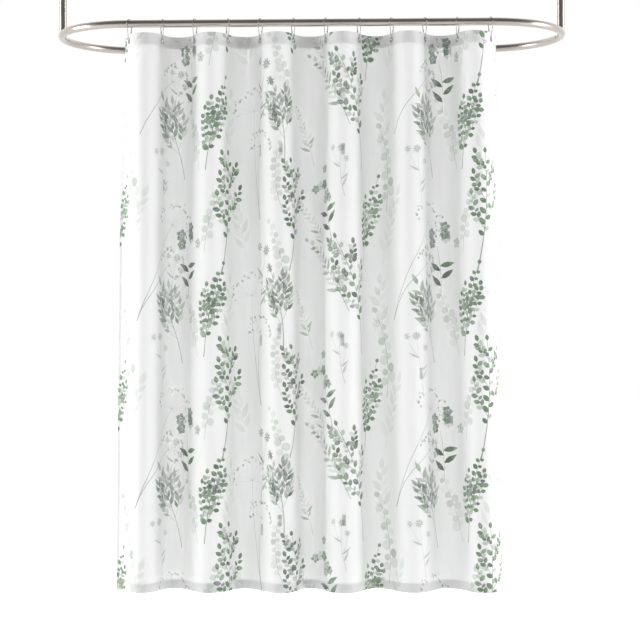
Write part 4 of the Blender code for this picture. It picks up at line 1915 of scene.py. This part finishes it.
@dataclass
class Hooks:
    """The wire hooks, each a pear-shaped loop with a small catch, and the eyelets that they pass through."""

    wire: Material
    metal: Material
    cloth: HungCloth
    wire_radius: float = 0.0013
    wire_sides: int = 12
    foot_radius: float = 0.0065
    centres: float = 0.047
    arch_steps: int = 28
    foot_steps: int = 14
    catch_start: float = 0.42
    catch_length: float = 0.16
    catch_girths: tuple[float, ...] = (1.05, 1.34, 1.42, 1.42, 1.42, 1.34, 1.05)
    eyelet_bore: float = 0.0062
    eyelet_wall: float = 0.0006
    eyelet_radius: float = 0.0100
    eyelet_thickness: float = 0.0009
    eyelet_back: float = 0.0013
    eyelet_rounding: float = 0.0004
    eyelet_sides: int = 40
    washer_gap: float = 0.0003

    def make(self) -> list[Object]:
        """Builds every hook and eyelet.

        Returns:
            The pieces.
        """
        made = []
        for i in range(self.cloth.eyelets):
            number = f"{i + 1:02d}"
            loop = self._loop(i, number)
            pieces = [self._hook(loop, number), self._catch(loop, number), *self._eyelet(i, number)]
            for piece in pieces:
                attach(piece, "hook_" + number)
            made += pieces
        return made

    def _loop(self, index: int, number: str) -> Loop:
        """A hook's centre line, from its CAD piece.

        Args:
            index: The hook's place in the row, whose neighbours turn the other way.
            number: The same as text.

        Returns:
            The centre line.
        """
        low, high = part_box("hook_" + number)
        wide, deep = high.x - low.x - 2.0 * self.wire_radius, high.y - low.y - 2.0 * self.wire_radius
        turn = math.atan2(wide, deep) if index % 2 == 0 else -math.atan2(wide, deep)
        arch = math.hypot(wide, deep) / 2.0
        centre = Vector(((low.x + high.x) / 2.0, (low.y + high.y) / 2.0, high.z - self.wire_radius - arch))
        aside = Vector((math.sin(turn), math.cos(turn), 0.0))
        return Loop(centre, aside, arch, self.foot_radius, self.centres)

    def _hook(self, loop: Loop, number: str) -> Object:
        """One hook's loop of wire.

        Args:
            loop: Its centre line.
            number: The hook's number.

        Returns:
            The piece.
        """
        lean = loop.lean
        arcs = (
            (loop.centre, loop.arch, -lean, math.pi + lean, self.arch_steps),
            (loop.foot_centre, loop.foot, math.pi + lean, 2.0 * math.pi - lean, self.foot_steps),
        )
        path = []
        for middle, radius, start, end, steps in arcs:
            angles = (start + (end - start) * k / steps for k in range(steps + 1))
            path += [loop.on(middle, radius, angle) for angle in angles]
        made = swept(f"hook_{number}_wire", path, self.wire_radius, self.wire_sides, self.wire, closed=True)
        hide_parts("hook_" + number)
        return made

    def _catch(self, loop: Loop, number: str) -> Object:
        """The small sleeve where the loop opens, halfway down its rear leg.

        Args:
            loop: The hook's centre line.
            number: The hook's number.

        Returns:
            The piece.
        """
        top = loop.on(loop.centre, loop.arch, -loop.lean)
        foot = loop.on(loop.foot_centre, loop.foot, -loop.lean)
        last = len(self.catch_girths) - 1
        path = [top.lerp(foot, self.catch_start + self.catch_length * k / last) for k in range(last + 1)]
        radii = [self.wire_radius * k for k in self.catch_girths]
        made = swept(f"hook_{number}_catch", path, radii, self.wire_sides, self.wire)
        return made

    def _eyelet(self, index: int, number: str) -> list[Object]:
        """One eyelet: a rolled flange with its barrel, and the washer behind.

        Args:
            index: The eyelet's place in the row.
            number: The eyelet's number.

        Returns:
            The ring and the washer.
        """
        place = self._eyelet_place(index, number)
        bore, edge, barrel = self.eyelet_bore, self.eyelet_radius, self.eyelet_bore + self.eyelet_wall
        back, face = self.eyelet_back, self.eyelet_back + self.eyelet_thickness
        ring = [(bore, -face), (edge, -face), (edge, -back), (barrel, -back), (barrel, face), (bore, face)]
        inner = barrel + self.washer_gap
        washer = [(inner, back), (edge, back), (edge, face), (inner, face)]
        made = []
        for name, node, profile in (("ring", "eyelet_", ring), ("washer", "eyelet_washer_", washer)):
            section = rounded(profile, self.eyelet_rounding)
            piece = turned(f"eyelet_{number}_{name}", section, self.eyelet_sides, place, self.metal)
            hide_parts(node + number)
            made.append(piece)
        return made

    def _eyelet_place(self, index: int, number: str) -> Matrix:
        """Where an eyelet sits, square to the cloth.

        Args:
            index: The eyelet's place in the row.
            number: The eyelet's number.

        Returns:
            Its place and turn.
        """
        cloth = self.cloth
        s, t = np.array([cloth.side_margin + index * cloth.spacing]), np.array([cloth.top_margin])
        low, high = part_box("eyelet_" + number)
        normal = Vector(cloth.normal(s, t)[0])
        normal = Vector((normal.x, normal.y, 0.0)).normalized()
        tangent = Vector((normal.y, -normal.x, 0.0))
        axes = Matrix((tangent, normal.cross(tangent), normal)).transposed().to_4x4()
        return Matrix.Translation((low + high) / 2.0) @ axes


# Rail


class Side(Enum):
    """An end of the rail, by its direction along it."""

    LEFT = -1
    RIGHT = 1

    @property
    def word(self) -> str:
        """The side's word in the names of pieces."""
        return self.name.lower()


@dataclass
class Rail:
    """The oval tube rail with its posts, flanges and screws."""

    nickel: Material
    dark: Material
    post_spacing: float = 1.72
    width: float = 0.526
    drop: float = 0.36
    tube_radius: float = 0.0127
    seam_offset: float = 0.022
    gap: float = 0.0003
    sides: int = 40
    bend_steps: int = 36
    straight_steps: int = 24
    post_steps: int = 12
    post_lip: float = 0.002
    flange_radius: float = 0.032
    flange_thickness: float = 0.004
    flange_sides: int = 72
    flange_edge: float = 0.0028
    flange_rim: float = 0.0012
    flange_chamfer: float = 0.0006
    neck_wall: float = 0.003
    neck_height: float = 0.022
    neck_fillet: float = 0.0025
    neck_chamfer: float = 0.0008
    bore_chamfer: float = 0.0003
    screw_head: float = 0.004
    screw_sides: int = 48
    screw_rings: int = 9
    screw_dome: float = 0.65
    slot_width: float = 0.00055
    slot_reach: float = 0.0023
    slot_depth: float = 0.0009
    set_screw_offset: float = 0.012
    set_screw_proud: float = 0.0008
    set_screw_sides: int = 36
    body: str = "rail"

    @property
    def middle(self) -> Vector:
        """The middle of the rail's ring."""
        return Vector((self.post_spacing / 2.0, 0.0, -self.drop))

    def make(self, nodes: dict[str, Object]) -> list[Object]:
        """Builds the rail's visible pieces and dresses the hidden ones.

        Args:
            nodes: The CAD nodes by name.

        Returns:
            The new pieces.
        """
        made = [self._half("front", True), self._half("rear", False)]
        for side in Side:
            made += [self._post(side), self._flange(side)]
            made += [self._screw(side, i + 1) for i in range(3)]
            made.append(self._set_screw(side))
            for name in ("rail_connector_" + side.word, "post_insert_" + side.word):
                nodes[name].data.materials.clear()
                nodes[name].data.materials.append(self.nickel)
        for piece in made:
            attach(piece, self.body)
        return made

    def _spot(self, side: int, angle: float) -> Vector:
        """A point of the centre line on an end bend.

        Args:
            side: -1 for the left bend, 1 for the right one.
            angle: 0 over the post, positive to the front.

        Returns:
            The point.
        """
        bend = self.width / 2.0
        middle = self.post_spacing / 2.0
        x = middle + side * (middle - bend + bend * math.cos(angle))
        return Vector((x, -bend * math.sin(angle), -self.drop))

    def _post_x(self, side: Side) -> float:
        """A post's place along the rail."""
        return self.post_spacing / 2.0 * (1 + side.value)

    def _half(self, word: str, front: bool) -> Object:
        """One half of the rail.

        Args:
            word: Its word in the names of pieces.
            front: Whether it is the front half.

        Returns:
            The piece.
        """
        seam = -self.seam_offset / (self.width / 2.0)
        if not front:
            seam -= self.gap / (self.width / 2.0)
        corner = math.pi / 2.0 if front else -math.pi / 2.0
        angles = [seam + (corner - seam) * i / self.bend_steps for i in range(self.bend_steps + 1)]
        left = [self._spot(-1, a) for a in angles]
        right = [self._spot(1, a) for a in reversed(angles)]
        steps = self.straight_steps
        straight = [left[-1].lerp(right[0], i / steps) for i in range(1, steps)]
        made = swept(f"rail_{word}_tube", left + straight + right, self.tube_radius, self.sides, self.nickel)
        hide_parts(f"rail_{word}_half")
        return made

    def _post(self, side: Side) -> Object:
        """A post, whose foot is coped to the rail's round.

        Args:
            side: Its end of the rail.

        Returns:
            The piece.
        """
        high, low = -self.flange_thickness - self.gap, self.tube_radius * 1.6 - self.drop
        steps = self.post_steps
        levels = [high, high - self.post_lip]
        levels += [high * (1 - i / steps) + low * i / steps for i in range(1, steps + 1)]
        points, flat = [], []
        for z in [*levels, None]:
            for turn in turns(self.sides):
                a, b = self.tube_radius * math.cos(turn), self.tube_radius * math.sin(turn)
                saddle = -self.drop + math.sqrt(max(0.0, (self.tube_radius + self.gap) ** 2 - a**2))
                level = saddle if z is None else z
                points.append(Vector((self._post_x(side) + a, b, level)))
                flat.append((girth(self.tube_radius, turn), level))
        faces = bands(len(levels), self.sides)
        faces.append(tuple(range(self.sides)))
        faces.append(tuple(len(levels) * self.sides + j for j in range(self.sides))[::-1])
        made = make_object(f"post_{side.word}_tube", np.array(points), faces, np.array(flat), self.nickel)
        made.data.set_sharp_from_angle(angle=math.radians(50.0))
        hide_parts("ceiling_post_" + side.word)
        return made

    def _flange(self, side: Side) -> Object:
        """A round ceiling flange with its neck.

        Args:
            side: Its end of the rail.

        Returns:
            The piece.
        """
        inner, face, edge = self.tube_radius + self.gap, -self.flange_thickness, self.flange_radius
        neck, foot = inner + self.neck_wall, face - self.neck_height
        quarter = np.linspace(0.0, math.pi / 2, 7)
        bend, fillet = self.flange_edge, self.neck_fillet
        profile = [
            (0.0, 0.0),
            (edge - self.flange_chamfer, 0.0),
            (edge, -self.flange_chamfer),
            *[(edge - bend * (1 - math.cos(a)), -self.flange_rim - bend * math.sin(a)) for a in quarter],
            *[(neck + fillet * (1 - math.sin(a)), face - fillet * (1 - math.cos(a))) for a in quarter],
            (neck, foot + self.neck_chamfer),
            (neck - self.neck_chamfer, foot),
            (inner + self.bore_chamfer, foot),
            (inner, foot + self.bore_chamfer),
            (inner, face),
            (0.0, face),
        ]
        place = Matrix.Translation((self._post_x(side), 0.0, 0.0))
        made = turned(f"flange_{side.word}_disc", profile, self.flange_sides, place, self.nickel)
        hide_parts("ceiling_flange_" + side.word)
        return made

    def _screw(self, side: Side, number: int) -> Object:
        """A pan-head wood screw with a cross recess.

        Args:
            side: Its end of the rail.
            number: Its number in the flange.

        Returns:
            The piece.
        """
        node = f"flange_screw_{side.word}_{number}"
        low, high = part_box(node)
        spot = Vector(((low.x + high.x) / 2.0, (low.y + high.y) / 2.0, low.z))
        head = -low.z - self.flange_thickness - self.gap
        sides, rings, points = self.screw_sides, self.screw_rings, []
        for i in range(rings + 1):
            share = i / rings
            radius = self.screw_head * share
            for turn in turns(sides):
                a, b = radius * math.cos(turn), radius * math.sin(turn)
                near, far = sorted((abs(a), abs(b)))
                sunk = self.slot_depth if near < self.slot_width and far < self.slot_reach else 0.0
                points.append(spot + Vector((a, b, head * self.screw_dome * share**2.6 + sunk)))
        for turn in turns(sides):
            a, b = self.screw_head * math.cos(turn), self.screw_head * math.sin(turn)
            points.append(spot + Vector((a, b, head)))
        faces = bands(rings + 1, sides)
        faces.append(tuple((rings + 1) * sides + j for j in range(sides)))
        made = make_object(f"wood_screw_{side.word}_{number}", np.array(points), faces, None, self.dark)
        made.data.set_sharp_from_angle(angle=math.radians(35.0))
        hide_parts(node)
        return made

    def _set_screw(self, side: Side) -> Object:
        """A headless screw with a socket, on the rail's inner side.

        Args:
            side: Its end of the rail.

        Returns:
            The piece.
        """
        angle = -(self.seam_offset + self.set_screw_offset) / (self.width / 2.0)
        out = Vector((side.value * math.cos(angle), -math.sin(angle), 0.0))
        outer = self._spot(side.value, angle) - (self.tube_radius + self.set_screw_proud) * out
        turn = out.to_track_quat("Z", "Y").to_matrix().to_4x4()
        profile = [
            (0.0, 0.0016), (0.00125, 0.0016), (0.00125, 0.0002), (0.0014, 0.0),
            (0.0022, 0.0), (0.0025, 0.0003), (0.0025, 0.006), (0.0, 0.006),
        ]
        place = Matrix.Translation(outer) @ turn
        made = turned(f"set_screw_{side.word}_socket", profile, self.set_screw_sides, place, self.dark)
        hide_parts("set_screw_" + side.word)
        return made


# Studio


@dataclass(frozen=True)
class SoftBox:
    """A rectangular soft light at one side, aimed at the cloth's front."""

    name: str
    side: int
    power: float
    tint: Colour = (1.0, 1.0, 1.0)
    away: float = 5.8
    forward: float = 0.60
    up: float = 0.4
    size: Point = (2.0, 4.4)

    def make(self, aim: Vector) -> None:
        """Adds the light.

        Args:
            aim: Where it points.
        """
        data = bpy.data.lights.new(self.name, "AREA")
        data.shape = "RECTANGLE"
        data.size, data.size_y = self.size
        data.energy = self.power
        data.color = self.tint
        made = bpy.data.objects.new(self.name, data)
        bpy.context.scene.collection.objects.link(made)
        made.location = aim + Vector((self.side * self.away, -self.forward, self.up))
        made.rotation_euler = (aim - made.location).to_track_quat("-Z", "Y").to_euler()


@dataclass
class Studio:
    """The camera, a pale floor, and plain soft light from both sides."""

    lens: float = 88.9
    sensor: float = 36.0
    distance: float = 5.197
    right: float = 0.118
    below_rail: float = 0.978
    yaw: float = 0.0168
    roll: float = 0.0036
    floor_gap: float = 0.16
    floor_reach: float = 14.0
    floor_glow: float = 0.55
    boxes: tuple[SoftBox, ...] = (
        SoftBox("left_box", -1, 185.0),
        SoftBox("right_box", 1, 180.0, (1.0, 0.975, 1.0)),
    )
    surround: tuple[float, ...] = (-0.3, 0.6, 0.28, 1.7)

    def make(self, low: Vector, high: Vector, rail: Rail) -> None:
        """Sets up the camera, the floor and the lights.

        Args:
            low: The object's lowest corner.
            high: The object's highest corner.
            rail: The rail, whose front run the camera's distance is measured from.
        """
        bpy.context.scene.view_settings.view_transform = "Standard"
        middle = (low + high) / 2.0
        self._camera(rail)
        self._floor(middle, low.z - self.floor_gap)
        for box in self.boxes:
            box.make(Vector((middle.x, low.y, middle.z)))
        self._world()

    def _camera(self, rail: Rail) -> None:
        """A long lens, level, in front of the curtain and below its middle height.

        Args:
            rail: The rail.
        """
        data = bpy.data.cameras.new("camera")
        data.lens = self.lens
        data.sensor_width = self.sensor
        made = bpy.data.objects.new("camera", data)
        bpy.context.scene.collection.objects.link(made)
        away = Vector((self.right, -rail.width / 2.0 - self.distance, -self.below_rail))
        made.location = rail.middle + away
        made.rotation_euler = (math.pi / 2.0, self.roll, self.yaw)
        bpy.context.scene.camera = made

    def _floor(self, middle: Vector, z: float) -> None:
        """A large pale floor, a little below the cloth.

        Args:
            middle: The point that it spreads from.
            z: Its height.
        """
        reach = self.floor_reach
        corners = ((-1, -1), (1, -1), (1, 1), (-1, 1))
        points = np.array([(middle.x + a * reach, middle.y + b * reach, z) for a, b in corners])
        graph = Graph("pale_floor")
        graph.set(Base_Color=(0.92, 0.92, 0.92), Roughness=0.9)
        graph.set(Emission_Color=(1.0, 1.0, 1.0), Emission_Strength=self.floor_glow)
        floor = make_object("floor", points, [(0, 1, 2, 3)], None, graph.material)
        floor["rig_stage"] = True

    def _world(self) -> None:
        """White behind everything, and a dimmer surround that is darkest in front."""
        world = bpy.data.worlds.new("surround")
        bpy.context.scene.world = world
        world.use_nodes = True
        tree = world.node_tree
        tree.nodes.clear()
        out = tree.nodes.new("ShaderNodeOutputWorld")
        both = tree.nodes.new("ShaderNodeMixShader")
        seen = tree.nodes.new("ShaderNodeBackground")
        seen.inputs[0].default_value = (1.0, 1.0, 1.0, 1.0)
        lit = tree.nodes.new("ShaderNodeBackground")
        path = tree.nodes.new("ShaderNodeLightPath")
        place = tree.nodes.new("ShaderNodeTexCoord")
        parts = tree.nodes.new("ShaderNodeSeparateXYZ")
        front = tree.nodes.new("ShaderNodeMapRange")
        front.interpolation_type = "SMOOTHSTEP"
        for i, value in enumerate(self.surround):
            front.inputs[i + 1].default_value = value
        for source, target in (
            (place.outputs["Generated"], parts.inputs[0]),
            (parts.outputs["Y"], front.inputs[0]),
            (front.outputs[0], lit.inputs[1]),
            (path.outputs["Is Camera Ray"], both.inputs[0]),
            (lit.outputs[0], both.inputs[1]),
            (seen.outputs[0], both.inputs[2]),
            (both.outputs[0], out.inputs[0]),
        ):
            tree.links.new(source, target)


def numbers(corners: Iterable[Iterable[float]]) -> list[list[float]]:
    """Corners as plain lists of numbers."""
    return [[float(v) for v in corner] for corner in corners]


def main() -> None:
    """Builds the whole scene around the CAD frame."""
    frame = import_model()
    cad_box = numbers(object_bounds())
    rail = Rail(BrushedNickel().make(), DarkSteel().make())
    Studio().make(Vector(cad_box[0]), Vector(cad_box[1]), rail)
    cloth = HungCloth()
    pieces = rail.make(frame["nodes"])
    pieces += Hooks(BrightWire().make(), PressedMetal().make(), cloth).make()
    pieces += Curtain(cloth, PrintedPolyester().make(), SewingThread().make(), BotanicalPrint()).make()
    for piece in pieces:
        log.info("%s rides on %s", piece.name, piece["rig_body"])
    {"cad": cad_box, "visual": numbers(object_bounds())}


if __name__ == "__main__":
    logging.basicConfig(level=logging.INFO, format="%(message)s")
    main()
